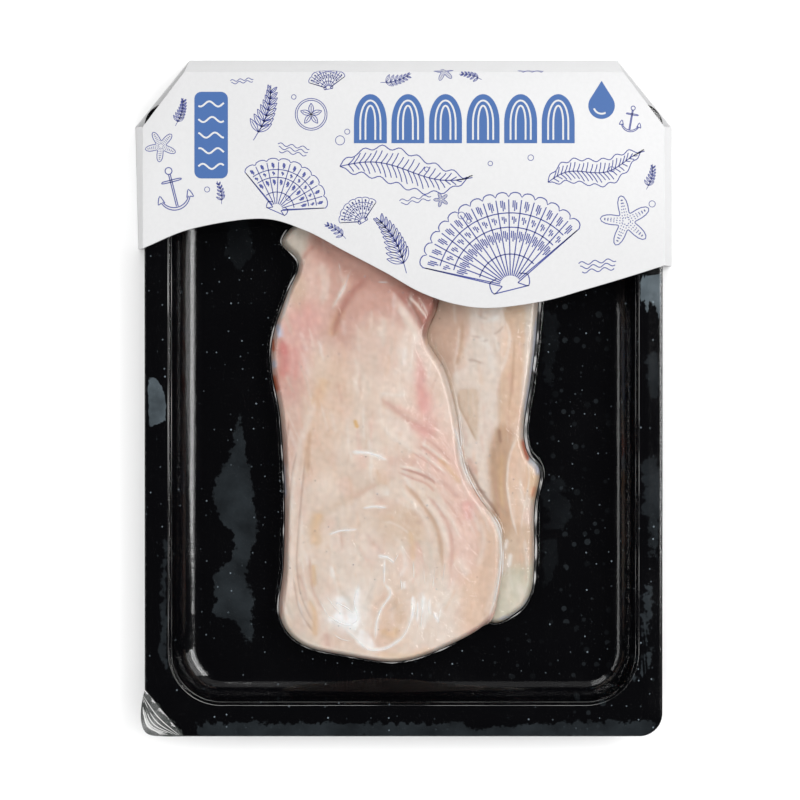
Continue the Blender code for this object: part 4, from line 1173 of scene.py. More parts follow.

# %% [markdown]
# Haze lies in patches on the floor and along the flange, and two small patches on the flange are painted
# glare, grey where the loose film reflects the light. Each patch is an outline with a level: how much it
# hides. The loose corner of the film, where it is peeled, is smoky.

# %% Haze
HAZE_AND_GLARE_PATCHES = [
    # level, outline
    (0.022, [(-58, -7), (-60.4, -14), (-60.4, -18), (-63, -23), (-66, -29), (-67.7, -38), (-64.5, -45),
             (-60.4, -48), (-59.8, -52), (-61.5, -59), (-67, -63), (-68, -68), (-66.5, -73), (-68, -78),
             (-60.4, -80), (-58, -82), (-55, -88), (-53, -87), (-53.5, -71), (-56, -65), (-55, -60),
             (-52, -48), (-53.5, -32), (-56.4, -16)]),
    (0.02, [(-83.2, -48), (-82.1, -52), (-82.5, -71), (-82.1, -89), (-82.5, -96), (-84.6, -93), (-84.6, -78),
             (-83.5, -61)]),
    # Painted glare: the next two patches are grey where the loose film on the flange reflects the light.
    (0.1, [(-88.7, 6), (-85.9, 5.8), (-83.5, 2.3), (-82.3, -3.2), (-82.8, -8.8), (-85.9, -10.5),
           (-88.4, -11)]),
    (0.13, [(81.9, 41), (89.2, 42), (89.2, 30), (88.4, 25), (87.6, 33), (86.6, 27), (85.6, 35), (84.4, 26),
            (83.4, 34), (82.2, 30)]),
    (0.012, [(83.8, 14), (88.3, 15), (89.4, 8.6), (89, -0.5), (86, -1.5), (84.9, 5)]),
    (0.014, [(82, -23), (87, -21), (89.4, -26), (89.4, -42), (88, -57), (85.2, -56), (85.6, -43), (82, -41),
            (83.8, -33)]),
    (0.03, [(83.8, -66), (85.9, -65), (86.6, -71), (84.9, -82), (82.4, -85), (83.1, -75)]),
    (0.028, [(86.2, -87), (87.3, -89), (83.8, -97), (80.3, -100), (79.3, -98), (83.8, -92)]),
    (0.021, [(-72, -114), (20, -114), (24, -116), (50, -114), (88, -113), (86, -119), (-72, -119)]),
    (0.006, [(50, -31), (55.5, -29.5), (59.3, -32.7), (56.2, -34.5), (59, -37.3), (59.7, -44.4), (55.5, -48),
             (50, -47), (52.6, -43.7), (50, -39), (48.4, -35.5)]),
    (0.005, [(48.6, -52), (54, -51), (55, -58), (52, -66), (48.6, -68), (50, -60)]),
    (0.006, [(49, 30), (54.6, 28), (55.4, 18), (52.6, 10), (53.4, 2), (50, 4), (49.6, 16)]),
    (0.006, [(-62, 66), (-55, 64), (-53, 50), (-58, 44), (-63, 50)]),
    (0.8, [(-92, -100), (-74, -121), (-93, -121)]),
]


# The distance to start from, and the lowest one that the mesh keeps
FAR_OUTSIDE, LOWEST_EDGE = -9.0, -4
# Patches with a level in this range are painted glare, and their borders are this much smoother
GLARE_LEVELS = (0.05, 0.5)
GLARE_SMOOTHNESS = 4


def haze_and_glare_at(x, y):
    """How far inside a patch each place is, and that patch's level."""
    edge, level = np.full(len(x), FAR_OUTSIDE), np.zeros(len(x))
    for strength, outline in HAZE_AND_GLARE_PATCHES:
        distance = signed_distance(outline, x, y)
        if GLARE_LEVELS[0] < strength < GLARE_LEVELS[1]:
            distance *= GLARE_SMOOTHNESS
        level = np.where(distance > edge, strength, level)
        edge = np.maximum(edge, distance)
    return np.maximum(edge, LOWEST_EDGE), level


def add_haze_and_glare(piece, flat):
    """Stores the film's haze and painted glare on the piece's points, front and back."""
    x, y = flat[:, 0], flat[:, 1]
    edge, level = haze_and_glare_at(x, y)
    right_floor = ramp(x, 50, 54) * ramp(x, 74, 68) * ramp(y, 40, 32)
    low_floor = ramp(y, -84, -90) * ramp(x, -10, 10) * ramp(y, -102, -98)
    over_fish = ramp(on_grid(np.maximum(front_inside, back_inside), x, y), 0, 3)
    gathered_low = 0.35 + 0.65 * np.clip(0.4 + wavy_noise(x, y, 16, 51) + 0.5 * bump_at(y, -74, 16), 0, 1)
    values = {
        "wrinkly": over_fish * gathered_low,
        "haze_and_glare_edge": edge,
        "haze_and_glare_level": level,
        "smoky": np.where((x < -73) & (y < -100) & (level > 0.5), 1, 0),
        "bubbly": 0.015 * np.maximum(right_floor, low_floor),
    }
    for name, value in values.items():
        attribute = piece.data.attributes.new(name, "FLOAT", "POINT")
        attribute.data.foreach_set("value", np.concatenate([value, value]).astype(np.float32))


print("haze patches:", len(HAZE_AND_GLARE_PATCHES))

# %% [markdown]
# Over the tray the film repeats the flange's and the cavity's rings a little higher. At the cut corner it
# hangs past the plastic as a loose, crinkled tab for peeling.

# %% Film over the tray
PEEL_OUTLINE = [(-89.6, -101), (-91, -107.7), (-91.2, -113), (-90.2, -116.6), (-88, -118.2), (-84, -118.55),
                (-79.9, -118.6), (-75, -118.5)]
PEEL_WIDTH, PEEL_LENGTH, PEEL_LIFT = 13.5, 16.3, 0.6
FILM_UNEVENNESS = 0.03

film_section = shifted(cavity_section, FILM_GAP)
rings = flange_rings(FILM_GAP, 3) + cavity_rings(film_section)
edge = rings[0]
low_corner = (edge[:, 0] < PEEL_WIDTH - TRAY_WIDTH / 2) & (edge[:, 1] < TRAY_LOW_END + PEEL_LENGTH)
peel = evenly(open_curve(PEEL_OUTLINE, 12), int(low_corner.sum()))
crease_level = len(STRIP_SECTION) - 1
crease = rings[crease_level]
for level in range(crease_level):
    share = level / crease_level
    rings[level][low_corner, :2] = (1 - share) * peel + share * crease[low_corner, :2]
    waves = 0.5 * np.sin(np.linspace(0, 9, len(peel))) * (1 - share)
    rings[level][low_corner, 2] += PEEL_LIFT * (1 - share) + PEEL_LIFT * waves
points, faces = strips(rings)
count = len(rings[0])
flat = points.copy()
points[:, 2] += FILM_UNEVENNESS * wavy_noise(points[:, 0], points[:, 1], 9, 5)
inner_rim = list(range(len(points) - count, len(points)))[::-1]
points, faces = closed_sheet(points, faces, [list(range(count)), inner_rim], -FILM_THICKNESS)
faces = [face[::-1] for face in faces]
film_tray = add_piece("film_over_tray", leaned(points), faces, FILM, "film")
add_haze_and_glare(film_tray, flat)
print("film over tray faces:", len(film_tray.data.polygons))

# %% [markdown]
# Over the floor the film's rings shrink from the cavity's edge to a line along the fish, and take their
# height from the grid.

# %% Film over the floor and the fish
FISH_FILM_RINGS = 110
# The narrow upright ellipse along the fish on which the rings end
CROWN_MIDDLE, CROWN_HALF = np.array([-3, -8]), np.array([3, 60])

floor_half = tray_half(CAVITY_INSET + film_section[-1, 0])
floor_ring = rounded_ring(floor_half, CAVITY_CORNER - film_section[-1, 0], 0, None, (74, 106), 18)
turn = math.pi / 2 + np.linspace(0, 2 * math.pi, len(floor_ring), endpoint=False)
crown = CROWN_MIDDLE + CROWN_HALF * np.column_stack([np.cos(turn), np.sin(turn)])
rings = []
for share in np.linspace(0, 1, FISH_FILM_RINGS + 1):
    place = floor_ring[:, :2] + share * (crown - floor_ring[:, :2])
    height = on_grid(film_height, place[:, 0], place[:, 1]) + FILM_GAP
    rings.append(np.column_stack([place, height]))
points, faces = strips(rings)
count = len(floor_ring)
faces += cap(len(points) - count, count)
flat = points.copy()
points, faces = closed_sheet(points, faces, [list(range(count))], -FILM_THICKNESS)
faces = [face[::-1] for face in faces]
film_fish = add_piece("film_over_fish", leaned(points), faces, FILM, "film", sharp=80)
add_haze_and_glare(film_fish, flat)
print("film over fish faces:", len(film_fish.data.polygons))

# %% [markdown]
# Where the film is gathered it stands up in fine creases, and each one catches the light as a thin bright
# line. They are modelled as low beads that lie on the film, swept along given lines by a Geometry Nodes
# tree. The sleeve's print uses the same tree with a flat profile.

# %% Sweeping lines with Geometry Nodes
def strip_nodes(name, material, round_profile):
    """Curves in, closed strips out, with their width and thickness as inputs."""
    tree = bpy.data.node_groups.new(name, "GeometryNodeTree")
    tree.interface.new_socket("Geometry", in_out="INPUT", socket_type="NodeSocketGeometry")
    add_numbers(tree, {"Strip width": 0.001, "Strip thickness": 0.00004})
    tree.interface.new_socket("Geometry", in_out="OUTPUT", socket_type="NodeSocketGeometry")
    lines, width, thickness = list(node(tree, "NodeGroupInput").outputs)[:3]
    if round_profile:
        circle = node(tree, "GeometryNodeCurvePrimitiveCircle", Resolution=8, Radius=0.5)
        size = node(tree, "ShaderNodeCombineXYZ", width, thickness, 1)
        profile = node(tree, "GeometryNodeTransform", Geometry=circle, Scale=size)
    else:
        profile = node(tree, "GeometryNodeCurvePrimitiveQuadrilateral", Width=width, Height=thickness)
    radius = node(tree, "GeometryNodeInputRadius")
    sweep = node(tree, "GeometryNodeCurveToMesh", Curve=lines, Profile_Curve=profile, Scale=radius,
                 Fill_Caps=True)
    smooth = node(tree, "GeometryNodeSetShadeSmooth", Geometry=sweep, Shade_Smooth=round_profile)
    real = node(tree, "GeometryNodeRealizeInstances", Geometry=smooth)
    node(tree, "NodeGroupOutput", node(tree, "GeometryNodeSetMaterial", Geometry=real, Material=material))
    return tree


def swept(name, lines, tree, thickness, replaced):
    """A plain mesh of strips along the lines, each a pair of its width and its points in millimetres."""
    curve = bpy.data.curves.new(name, "CURVE")
    curve.dimensions = "3D"
    curve.twist_mode = "Z_UP"
    for width, line in lines:
        count = len(line)
        spline = curve.splines.new("POLY")
        spline.points.add(count - 1)
        spline.points.foreach_set("co", np.column_stack([np.asarray(line) * MM, np.ones(count)]).ravel())
        spline.points.foreach_set("radius", np.array(np.broadcast_to(width, count), dtype=np.float32))
    source = bpy.data.objects.new(name + "_lines", curve)
    bpy.context.scene.collection.objects.link(source)
    modifier = source.modifiers.new("strips", "NODES")
    modifier.node_group = tree
    sizes = {"Strip width": MM, "Strip thickness": thickness * MM}
    for item in tree.interface.items_tree:
        if item.in_out == "INPUT" and item.name in sizes:
            modifier[item.identifier] = sizes[item.name]
    mesh = bpy.data.meshes.new_from_object(source.evaluated_get(bpy.context.evaluated_depsgraph_get()))
    bpy.data.objects.remove(source)
    return part_of_pack(name, mesh, replaced)


# %% [markdown]
# Stretched film shows bright folds. Three kinds of them lie on it as thin beads: short ones over the fish's
# folds and glints, long ones where the film leaves a fillet's edge and along the cavity's lip, and a fan of
# crinkles across the loose corner. A bump in the film would be simpler, but a bead catches the light from
# every side.

# %% Film creases
SHORT_CREASES = {
    # width at the middle in mm: lines
    0.378: [
        [(-18, -19.8), (-12, -20.2), (-6, -22.4)], [(-14, -39.4), (-10, -38.9), (-6, -39.3)],
        [(-26, -48.6), (-22, -47.3), (-16, -46.9)], [(-9, -56), (-5.5, -56.6), (-3.4, -58.4)],
        [(-24, -72), (-20, -74), (-17.5, -76)], [(-26, -77), (-22, -79.5), (-18, -80.5)],
        [(18, -11.5), (19.8, -18), (21.6, -25)], [(-1, -64), (-0.6, -68)],
    ],
    0.252: [
        [(-6.6, -59), (-6.8, -66)], [(-6.5, -66), (-4.4, -69), (-8, -75), (-9.5, -80), (-10, -85.5)],
        [(-15.5, -66), (-17.2, -72), (-16, -78), (-18.5, -80)],
        [(-21, -81), (-16, -85.5), (-12, -88.8), (-6, -88.4), (0, -84), (3, -77), (4, -71)],
        [(6.8, -70), (6.4, -76), (6, -82)], [(9, -71), (8.6, -76)], [(3.4, -58), (3.6, -64)],
        [(-9, 39.2), (-5.4, 39.2)], [(-3.4, -58.4), (-1.6, -55)], [(-27, -70), (-24, -74), (-22, -76)],
        [(-25, -83), (-22, -85), (-18, -86)], [(10, -76), (12, -79)], [(13, -74), (12, -80)],
        [(31, -43), (33.6, -48), (34.2, -56), (33.2, -65), (31.2, -74)],
    ],
    0.168: [
        [(-22.6, 46), (-22, 43)], [(-18.4, 43.4), (-20.4, 38), (-22.6, 34), (-24.8, 30)],
        [(-30, -70), (-27, -76), (-24, -80)], [(14.4, -59), (13.6, -65)], [(10.8, -60), (10.2, -68)],
        [(7, -60), (7.4, -66)], [(5, -72), (4.6, -79)],
    ],
}
CREASE_STEP = 0.6
BEAD_THICKNESS = 0.16
# Runs along a fillet's edge: outline, spine, where they start and end, distance outside the edge
RIM_RUNS = [
    (front_outline, FRONT_SPINE, 0.06, 0.55, 0.4), (front_outline, FRONT_SPINE, 0.62, 0.76, 0.3),
    (back_outline, BACK_SPINE, 0.5, 0.96, 0.5), (back_outline, BACK_SPINE, 0.56, 0.93, 1.1),
]
CRINKLES = 9


def on_film(place):
    """The places on top of the film over the fish."""
    height = on_grid(film_height, place[:, 0], place[:, 1]) + FILM_GAP + FILM_THICKNESS
    return leaned(np.column_stack([place, height]))


def short_crease(width, line):
    """A smooth line on the film in short steps, with a width that fades to its ends."""
    curve = open_curve(line, 10)
    length = np.linalg.norm(np.diff(curve, axis=0), axis=1).sum()
    steps = max(int(length / CREASE_STEP), 6)
    curve = np.concatenate([evenly(curve, steps), curve[-1:]])
    share = np.linspace(0, 1, len(curve))
    fade = np.sin(np.clip(share, 0.02, 0.98) * math.pi) ** 0.7
    return width * fade, on_film(curve)


def rim_line(outline, spine, first, last, offset):
    """A fold and painted highlight where the film leaves a fillet: a run of the outline, pushed out, of
    uneven width.
    """
    count = len(outline)
    away = outline - spine_points(spine, count // 2)
    away /= np.linalg.norm(away, axis=1)[:, None]
    place = (outline + offset * away)[int(first * count):int(last * count)]
    width = np.clip(0.25 + 0.9 * wavy_noise(place[:, 0], place[:, 1], 7, 31), 0.08, 1)
    return 0.5 * width, on_film(place)


def lip_line(inset, widest):
    """The film's fold and painted highlight along the cavity's lip, wider at the upper left and at the lower
    left corner.
    """
    lip = rounded_ring(tray_half(inset), CAVITY_CORNER - inset + CAVITY_INSET, TRAY_HEIGHT + FILM_GAP + 0.08)
    lip = np.roll(lip, -int(np.argmax(lip[:, 1] - 0.01 * np.abs(lip[:, 0]))), axis=0)
    width = np.where(lip[:, 0] < -66, 0.3 + 0.7 * ramp(lip[:, 1], -30, 0), 0.3)
    width += 0.9 * bump_at(np.hypot(lip[:, 0] + 76, lip[:, 1] + 98), 0, 13)
    width *= np.clip(0.5 + wavy_noise(lip[:, 0], lip[:, 1], 30, 32), 0.2, 1)
    return widest * width, leaned(lip)


def crinkle(share):
    """A sagging fold across the loose corner, at this share of the way out."""
    start, end = np.array([-90.6, -103 - 8 * share]), np.array([-77 - 8 * share, -118])
    sag = np.array([-2.6, -2.4]) * math.sin(share * math.pi)
    line = open_curve([start, (start + end) / 2 + sag, end], 8)
    height = TRAY_HEIGHT + 0.5 + 0.3 * np.sin(np.linspace(0, 7, len(line)) + 9 * share)
    return 0.4 * np.sin(np.linspace(0.2, 2.9, len(line))), leaned(np.column_stack([line, height]))


creases = [short_crease(width, line) for width, lines in SHORT_CREASES.items() for line in lines]
creases += [rim_line(*run) for run in RIM_RUNS]
creases += [lip_line(CAVITY_INSET - 0.5, 0.2), lip_line(CAVITY_INSET + 0.7, 0.09)]
creases += [crinkle(share) for share in np.linspace(0.12, 0.9, CRINKLES)]
# Folded film is whiter and less clear than a single layer, and the beads' white also paints the film's glints
gathered, _, _ = new_material("white_folds_and_glints", Base_Color=(0.9, 0.9, 0.89, 1), Roughness=0.12, Alpha=0.36)
beads = strip_nodes("film_beads", gathered, True)
crease_piece = swept("film_creases", creases, beads, BEAD_THICKNESS, "film")
print("crease faces:", len(crease_piece.data.polygons))

# %% [markdown]
# ## The sleeve
# The sleeve is one strip of coated card folded into a flat tube: a front panel with a wavy edge, a back
# panel, and three narrow spines, with both upper corners cut off. The sheet is drawn panel by panel, gets
# its thickness from Solidify, and a small Bevel rounds the creases as folded card does.

# %% Card sleeve
SLEEVE_HEIGHT, CARD = 18.4, 0.45
FRONT_HALF_WIDTH, FRONT_TOP = 90.3, 111.7
BACK_HALF_WIDTH, BACK_TOP = 95.3, 118.8
TOP_HALF_WIDTH = 76
FRONT_CHAMFER_Y, BACK_CHAMFER_Y = 92.8, 95
BACK_LEFT_END, BACK_RIGHT_END = (-94.2, 51.6), (95.3, 45.6)
CREASE_RADIUS = 0.18
WAVE = [(-90.3, 50.6), (-73.3, 57.4), (-49.7, 60.9), (-34.5, 57), (-20.3, 49.6), (-6.2, 42.2), (5.7, 35.5),
        (18, 31.3), (30.6, 30), (48.2, 32.3), (62.4, 36.2), (76.6, 40.4), (90.3, 44.7)]


def white_card():
    """Coated card: white, with the slightest mottling in its tone and its surface."""
    made, tree, shader = new_material("coated_white_card", Roughness=0.5)
    patches = node(tree, "ShaderNodeGroup", node_tree=MOTTLING, Size=900, Detail=4)
    tone = node(tree, "ShaderNodeMix", data_type="RGBA", Factor=patches,
                A=(0.565, 0.565, 0.57, 1), B=(0.58, 0.58, 0.585, 1))
    bump = node(tree, "ShaderNodeBump", Height=patches, Strength=0.1, Distance=0.00005)
    fill(shader, Base_Color=tone, Normal=bump)
    return made


wave = open_curve(WAVE, 12)
front_panel = [*wave, (FRONT_HALF_WIDTH, FRONT_CHAMFER_Y), (TOP_HALF_WIDTH, FRONT_TOP),
               (-TOP_HALF_WIDTH, FRONT_TOP), (-FRONT_HALF_WIDTH, FRONT_CHAMFER_Y)]
back_panel = [BACK_LEFT_END, BACK_RIGHT_END, (BACK_HALF_WIDTH, BACK_CHAMFER_Y), (TOP_HALF_WIDTH, BACK_TOP),
              (-TOP_HALF_WIDTH, BACK_TOP), (-BACK_HALF_WIDTH, BACK_CHAMFER_Y)]
points = [(x, y, SLEEVE_HEIGHT) for x, y in front_panel] + [(x, y, 0) for x, y in back_panel]
count = len(wave)
right, top_right, top_left, left = range(count, count + 4)
low_left, low_right, back_right, back_top_right, back_top_left, back_left = range(count + 4, count + 10)
faces = [
    list(range(count + 4)),
    [low_left, back_left, back_top_left, back_top_right, back_right, low_right],
    [0, left, back_left, low_left],
    [count - 1, low_right, back_right, right],
    [top_right, back_top_right, back_top_left, top_left],
]
sleeve = add_piece("card_sleeve", points, faces, white_card(), "sleeve", sharp=30)
solid = sleeve.modifiers.new("card thickness", "SOLIDIFY")
solid.thickness, solid.offset, solid.use_even_offset = CARD * MM, -1, True
rounded = sleeve.modifiers.new("creases", "BEVEL")
rounded.width, rounded.segments, rounded.limit_method = CREASE_RADIUS * MM, 3, "ANGLE"
print("sleeve outline points:", len(points))

# %% [markdown]
# ## The print
# The sleeve carries a sea theme in two blue inks. Each motif is a set of lines drawn in its own small space,
# then turned, scaled and moved to its place. The lines become real, very thin strips of ink through a small
# Geometry Nodes tree, so a stroke's width is a number that can be changed. Flat areas are thin slabs.

# %% Card surface and motif helpers
INK_LIFT, SPINE_LIFT = 0.02, 0.002
SPINE_RUN = (BACK_TOP - FRONT_TOP, SLEEVE_HEIGHT)
SPINE_LENGTH = math.hypot(*SPINE_RUN)


def on_card(line):
    """Places on the sleeve: past the upper crease the card slopes down."""
    x, y = np.asarray(line, float).T
    over = np.maximum(y - FRONT_TOP, 0)
    along = np.minimum(y, FRONT_TOP) + over * (SPINE_RUN[0] / SPINE_LENGTH + SPINE_LIFT)
    return np.column_stack([x, along, SLEEVE_HEIGHT + INK_LIFT - over * SPINE_RUN[1] / SPINE_LENGTH])


def placed(lines, x, y, size, turn=0):
    """A motif's lines at their place on the card."""
    c, s = math.cos(math.radians(turn)), math.sin(math.radians(turn))
    spin = size * np.array([[c, s], [-s, c]])
    return [np.asarray(line, float) @ spin + (x, y) for line in lines]


def ring(x, y, radius, steps=20, start=0, sweep=360, rise=None):
    """An arc or a circle, or an upright ellipse that rises this far."""
    turn = np.radians(start + np.linspace(0, sweep, steps + 1))
    return np.column_stack([x + radius * np.cos(turn), y + (rise or radius) * np.sin(turn)])


def spoke(degrees):
    """A direction, and the direction square to it."""
    turn = math.radians(degrees)
    away = np.array([math.cos(turn), math.sin(turn)])
    return away, np.array([-away[1], away[0]])


def leaf(root, away, aside, length, swell, steps):
    """The two sides of a pointed leaf."""
    u = np.linspace(0, 1, steps)[:, None]
    return [root + u * length * away + side * swell * np.sin(u * math.pi) * aside for side in (1, -1)]


print("upper spine:", round(SPINE_LENGTH, 2), "mm")

# %% [markdown]
# The drawings are shells, starfish, weed, fronds, anchors, small waves and sea biscuits. Each could be drawn
# point by point, but a function for each kind, made of arcs, spokes and leaves at unit size, gives as many
# variants as the layout asks for.

# %% Motifs
def shell(ribs):
    """A scallop shell one unit high, hinge down: its rim, ribs, hatching, growth lines and ears."""
    spread = np.radians(np.linspace(90 - 64, 90 + 64, ribs * 6 + 1))
    reach = 1 + 0.05 * np.abs(np.sin(np.linspace(0, ribs * math.pi, len(spread)))) ** 0.5
    rim = np.column_stack([reach * np.cos(spread), reach * np.sin(spread)])
    lines = [np.concatenate([[(0.09, 0.02)], rim, [(-0.09, 0.02)]])]
    for i in range(ribs + 1):
        away, _ = spoke(26 + 128 * i / ribs)
        lines.append([away * 0.12, away * 0.55, away * 0.97])
    for i in range(ribs):
        away, aside = spoke(26 + 128 * (i + 0.5) / ribs)
        for low, high in ((0.5, 0.62), (0.7, 0.78), (0.84, 0.96)):
            hatches = ((0, low, high), (0.02, low + 0.04, high), (-0.02, low + 0.02, high - 0.02))
            for shift, start, end in hatches:
                lines.append([away * start + aside * shift, away * end + aside * shift])
    for radius in (0.36, 0.66, 0.82):
        lines.append(ring(0, 0, radius, 22, 30, 120))
    for side in (1, -1):
        lines.append([(0.09 * side, 0.02), (0.2 * side, -0.04), (0.22 * side, 0.08), (0.13 * side, 0.12)])
    return lines + [[(-0.2, -0.04), (0.2, -0.04)]]


def starfish(arms=5):
    """A starfish of radius one, with three dotted lines along every arm."""
    turns = np.linspace(0, 2 * math.pi, arms * 12, endpoint=False)
    reach = 0.34 + 0.66 * np.abs(np.cos(turns * arms / 2)) ** 2.6
    rim = np.column_stack([reach * np.sin(turns), reach * np.cos(turns)])
    lines = [np.concatenate([rim, rim[:1]])]
    for i in range(arms):
        away, aside = spoke(90 - 360 * i / arms)
        for low in np.linspace(0.1, 0.8, 7):
            for side, dot in ((0, 0.05), (-1, 0.04), (1, 0.04)):
                shift = side * 0.13 * (1 - low) * aside
                lines.append([away * low + shift, away * (low + dot) + shift])
    return lines


def weed(leaves, bend=0.12, blade=0.3):
    """A sprig of seaweed one unit long, with pointed blades in pairs on a bent stem."""
    t = np.linspace(0, 1, 14)
    lines = [np.column_stack([bend * np.sin(t * 2.6), t])]
    for i in range(leaves):
        share = 0.16 + 0.8 * i / leaves
        root = np.array([bend * math.sin(share * 2.6), share])
        length = blade * (1 - 0.55 * share)
        for side in (-1, 1):
            away, aside = spoke(90 - side * (48 - 20 * share))
            lines += leaf(root, away, aside, length, 0.16 * length, 7)
            lines.append([root, root + away * length * 0.8])
    return lines


def kelp(waves=3):
    """A broad wavy frond one unit long: two frilled edges, a midrib and slanting veins."""
    t = np.linspace(0, 1, 50)
    middle = np.column_stack([t, 0.05 * np.sin(t * waves * 2)])
    half = 0.13 * np.sin(np.clip(t * 1.06, 0, 1) * math.pi) ** 0.6
    frill = 0.016 * np.sin(t * 46)
    edges = [middle + np.column_stack([0 * t, frill + side * half]) for side in (1, -1)]
    lines = [*edges, middle]
    for i in range(3, 46, 2):
        for side, edge in zip((1, -1), edges):
            tip = middle[i] + 0.72 * (edge[min(i + 3, 49)] - middle[i])
            lines.append([middle[i], 0.5 * (middle[i] + tip) + (0.006, 0.004 * side), tip])
    return lines


def anchor():
    """An anchor one unit high: ring, stock, shank, arms and flukes."""
    return [
        ring(0, 0.92, 0.08, 14),
        [(-0.02, 0.84), (-0.02, 0.08)], [(0.02, 0.84), (0.02, 0.08)],
        [(-0.2, 0.7), (0.2, 0.7), (0.2, 0.66), (-0.2, 0.66), (-0.2, 0.7)],
        ring(0, 0.36, 0.36, 20, 200, 140), ring(0, 0.4, 0.34, 20, 205, 130),
        [(-0.34, 0.24), (-0.42, 0.22), (-0.34, 0.4), (-0.26, 0.22)],
        [(0.34, 0.24), (0.42, 0.22), (0.34, 0.4), (0.26, 0.22)],
    ]


def ripples(rows=3):
    """Rows of small waves one unit wide."""
    t = np.linspace(0, 1, 30)
    return [np.column_stack([t[row:30 - row] - 0.5, 0.045 * np.sin(t[row:30 - row] * 18 + row) - 0.11 * row])
            for row in range(rows)]


def sand_dollar():
    """A round sea biscuit of radius one with a double rim and five petals."""
    lines = [ring(0, 0, 1, 36), ring(0, 0, 0.88, 36)]
    for i in range(5):
        away, aside = spoke(90 - 72 * i)
        lines += leaf(0, away, -aside, 0.7, 0.15, 9)
        lines.append([away * 0.1, away * 0.55])
    return lines


print("lines of a shell:", len(shell(15)), "of a starfish:", len(starfish()), "of a sprig:", len(weed(9)))

# %% [markdown]
# The motifs are laid out one by one: big ones where the sleeve is widest, small ones in the gaps, and a few
# that run over the upper crease.

# %% Print layout
MOTIFS = [
    # motif, x, y, size, turn, line width in mm
    (shell(15), 37, 37.5, 31, 14, 0.4),
    (kelp(), -22, 79, 46, -4, 0.36),
    (kelp(waves=4), 50, 73.5, 35, 15, 0.34),
    (starfish(), 77, 60, 9, 12, 0.34),
    (shell(9), -44, 64, 17, -24, 0.32),
    (weed(9), 1, 42, 22, 32, 0.28),
    (ripples(), 67, 46, 13, 6, 0.34),
    (weed(6), 84, 71, 9, -10, 0.2),
    (anchor(), -78, 64, 15, 14, 0.36),
    (weed(8), -52, 88, 20, -14, 0.28),
    (sand_dollar(), -32, 97, 5.5, 0, 0.28),
    (starfish(), -84, 86, 5.5, 30, 0.28),
    (weed(7), -79, 93, 10, -12, 0.22),
    (ripples(), -38, 86, 11, -8, 0.28),
    (ripples(2), 4, 68, 11, 10, 0.28),
    (shell(7), -14, 60, 8, 30, 0.26),
    (weed(5), -20, 54, 9, 60, 0.2),
    (anchor(), 78, 91, 9, -10, 0.3),
    (shell(7), -26, 106, 7, 10, 0.26),
    (weed(6), -8, 108, 11, -70, 0.2),
    (starfish(), 14, 112, 3.6, 10, 0.26),
    (ripples(2), 44, 113, 9, 0, 0.26),
    (starfish(), 13, 67.5, 2.6, 20, 0.26),
    (ripples(2), -56, 109, 8, 6, 0.26),
    (weed(5), -63, 66, 8, 15, 0.2),
    (weed(5), 27, 109, 8, 80, 0.2),
]
BUBBLES = [(-22, 88, 1.6), (-19.5, 91, 0.9), (20, 62, 1.2), (22.5, 60, 0.7), (86, 66, 1.1), (-68, 71, 0.9),
           (44, 82, 1), (30, 80, 0.8), (-38, 103, 0.8), (-40, 68, 0.8), (72, 78, 0.9), (8, 78, 0.8)]

print_lines = []
for lines, x, y, size, turn, width in MOTIFS:
    print_lines += [(width, line) for line in placed(lines, x, y, size, turn)]
print_lines += [(0.24, ring(x, y, radius, 14)) for x, y, radius in BUBBLES]
print("ink lines:", len(print_lines))

# %% [markdown]
# The inks are a violet blue for the drawings, a lighter blue for the flat areas and the card's own white. The
# ink lines go through the same sweep as the film's creases, with a flat profile this time.

# %% Inks
INK_EXPOSURE = 0.68
INK_THICKNESS = 0.03


def ink(name, color):
    """A slightly shiny ink."""
    return new_material(name, Base_Color=(*color, 1), Roughness=0.45)[0]


LINE_INK = ink("violet_blue_ink", INK_EXPOSURE * shade(76, 86, 160))
FLAT_INK = ink("flat_blue_ink", INK_EXPOSURE * shade(72, 113, 178))
WHITE_INK = ink("paper_white", (0.57, 0.57, 0.575))
dense = [(width, on_card(open_curve(line, 3) if len(line) < 12 else line)) for width, line in print_lines]
ink_lines = strip_nodes("ink_lines", LINE_INK, False)
sketch = swept("printed_sketches", dense, ink_lines, INK_THICKNESS, "sleeve")
print("sketch faces:", len(sketch.data.polygons))

# %% [markdown]
# The bold part of the print is a row of rounded scales in flat blue with a white line inside each, a drop
# beside it, and a small upright panel with wavy lines. They are slabs a few hundredths of a millimetre high.

# %% Flat colour areas
SCALE_XS = [-11.5, 1.5, 14.5, 27.5, 40.5, 53.5]
SCALE_FOOT, SCALE_WIDTH, SCALE_HEIGHT = 87, 11.4, 17
DROP_X, DROP_Y, DROP_RADIUS, DROP_TIP = 68.5, 100, 4.6, 108.6
PANEL_X, PANEL_Y, PANEL_WIDTH, PANEL_HEIGHT, PANEL_CORNER = -66.6, 89.8, 11.6, 30, 2.4
SLAB_LOW, SLAB_HIGH, WHITE_LIFT, WHITE_WIDTH = 0.005, 0.045, 0.055, 0.62
ARCH_FOOT, ARCH_MIDDLE, ARCH_RISE, ARCH_INSETS = 88.2, 94.1, 9.9, (2.2, 4.0)
DROP_GLINT = 2.8
WAVE_LEFT, WAVE_RUN, WAVE_LOW, WAVE_PITCH, WAVE_ROWS = -71, 8.8, 79, 5.4, 5


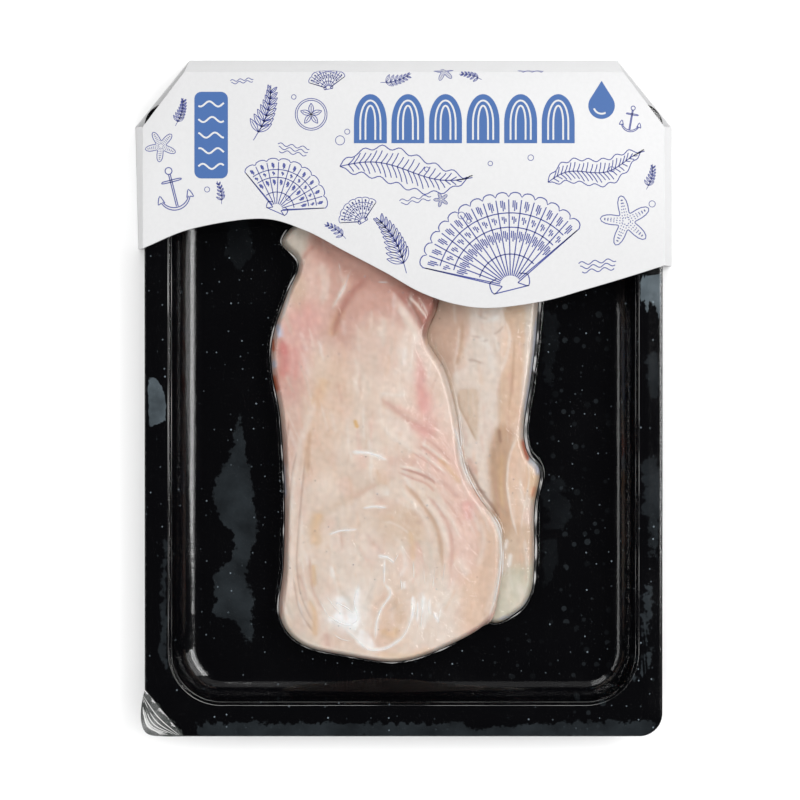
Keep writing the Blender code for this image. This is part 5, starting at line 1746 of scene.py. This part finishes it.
def slabs(name, outlines, material):
    """Thin closed slabs on the card, one for each anticlockwise outline."""
    points, faces = [], []
    for outline in outlines:
        start, count = len(points), len(outline)
        for height in (SLEEVE_HEIGHT + SLAB_LOW, SLEEVE_HEIGHT + SLAB_HIGH):
            points += [(x, y, height) for x, y in outline]
        low = [start + i for i in range(count)]
        faces.append(low[::-1])
        faces.append([count + i for i in low])
        faces += [[here, after, count + after, count + here] for here, after in zip(low, low[1:] + low[:1])]
    return add_piece(name, points, faces, material, "sleeve")


def scale_shape(x):
    """A scale: flat at its foot, round at its top."""
    foot = SCALE_FOOT + 0.42 * SCALE_HEIGHT
    dome = ring(x, foot, SCALE_WIDTH / 2, 24, 0, 180, 0.58 * SCALE_HEIGHT)
    return [(x - SCALE_WIDTH / 2, SCALE_FOOT), (x + SCALE_WIDTH / 2, SCALE_FOOT), *dome]


scales = [scale_shape(x) for x in SCALE_XS]
drop = [(DROP_X, DROP_TIP), *ring(DROP_X, DROP_Y, DROP_RADIUS, 23, 150, 240)]
panel = []
for sign_x, sign_y, start in ((1, 1, 0), (-1, 1, 90), (-1, -1, 180), (1, -1, 270)):
    corner_x = PANEL_X + sign_x * (PANEL_WIDTH / 2 - PANEL_CORNER)
    corner_y = PANEL_Y + sign_y * (PANEL_HEIGHT / 2 - PANEL_CORNER)
    panel += list(ring(corner_x, corner_y, PANEL_CORNER, 6, start, 90))
slabs("printed_blue_areas", [*scales, drop, panel], FLAT_INK)

white_lines = []
for x in SCALE_XS:
    for inset in ARCH_INSETS:
        reach = SCALE_WIDTH / 2 - inset
        arch = ring(x, ARCH_MIDDLE, reach, 16, 0, 180, ARCH_RISE - inset)
        white_lines.append(np.concatenate([[(x + reach, ARCH_FOOT)], arch, [(x - reach, ARCH_FOOT)]]))
white_lines.append(ring(DROP_X, DROP_Y, DROP_GLINT, 10, 200, 100))
t = np.linspace(0, 1, 20)
for row in range(WAVE_ROWS):
    height = WAVE_LOW + WAVE_PITCH * row + 0.9 * np.sin(t * 9 + row)
    white_lines.append(np.column_stack([WAVE_LEFT + WAVE_RUN * t, height]))
raised = [(WHITE_WIDTH, np.column_stack([line, np.full(len(line), SLEEVE_HEIGHT + WHITE_LIFT)]))
          for line in white_lines]
white_tree = strip_nodes("white_lines", WHITE_INK, False)
white_print = swept("printed_white_lines", raised, white_tree, INK_THICKNESS, "sleeve")
print("blue areas:", len(scales) + 2, "white line faces:", len(white_print.data.polygons))
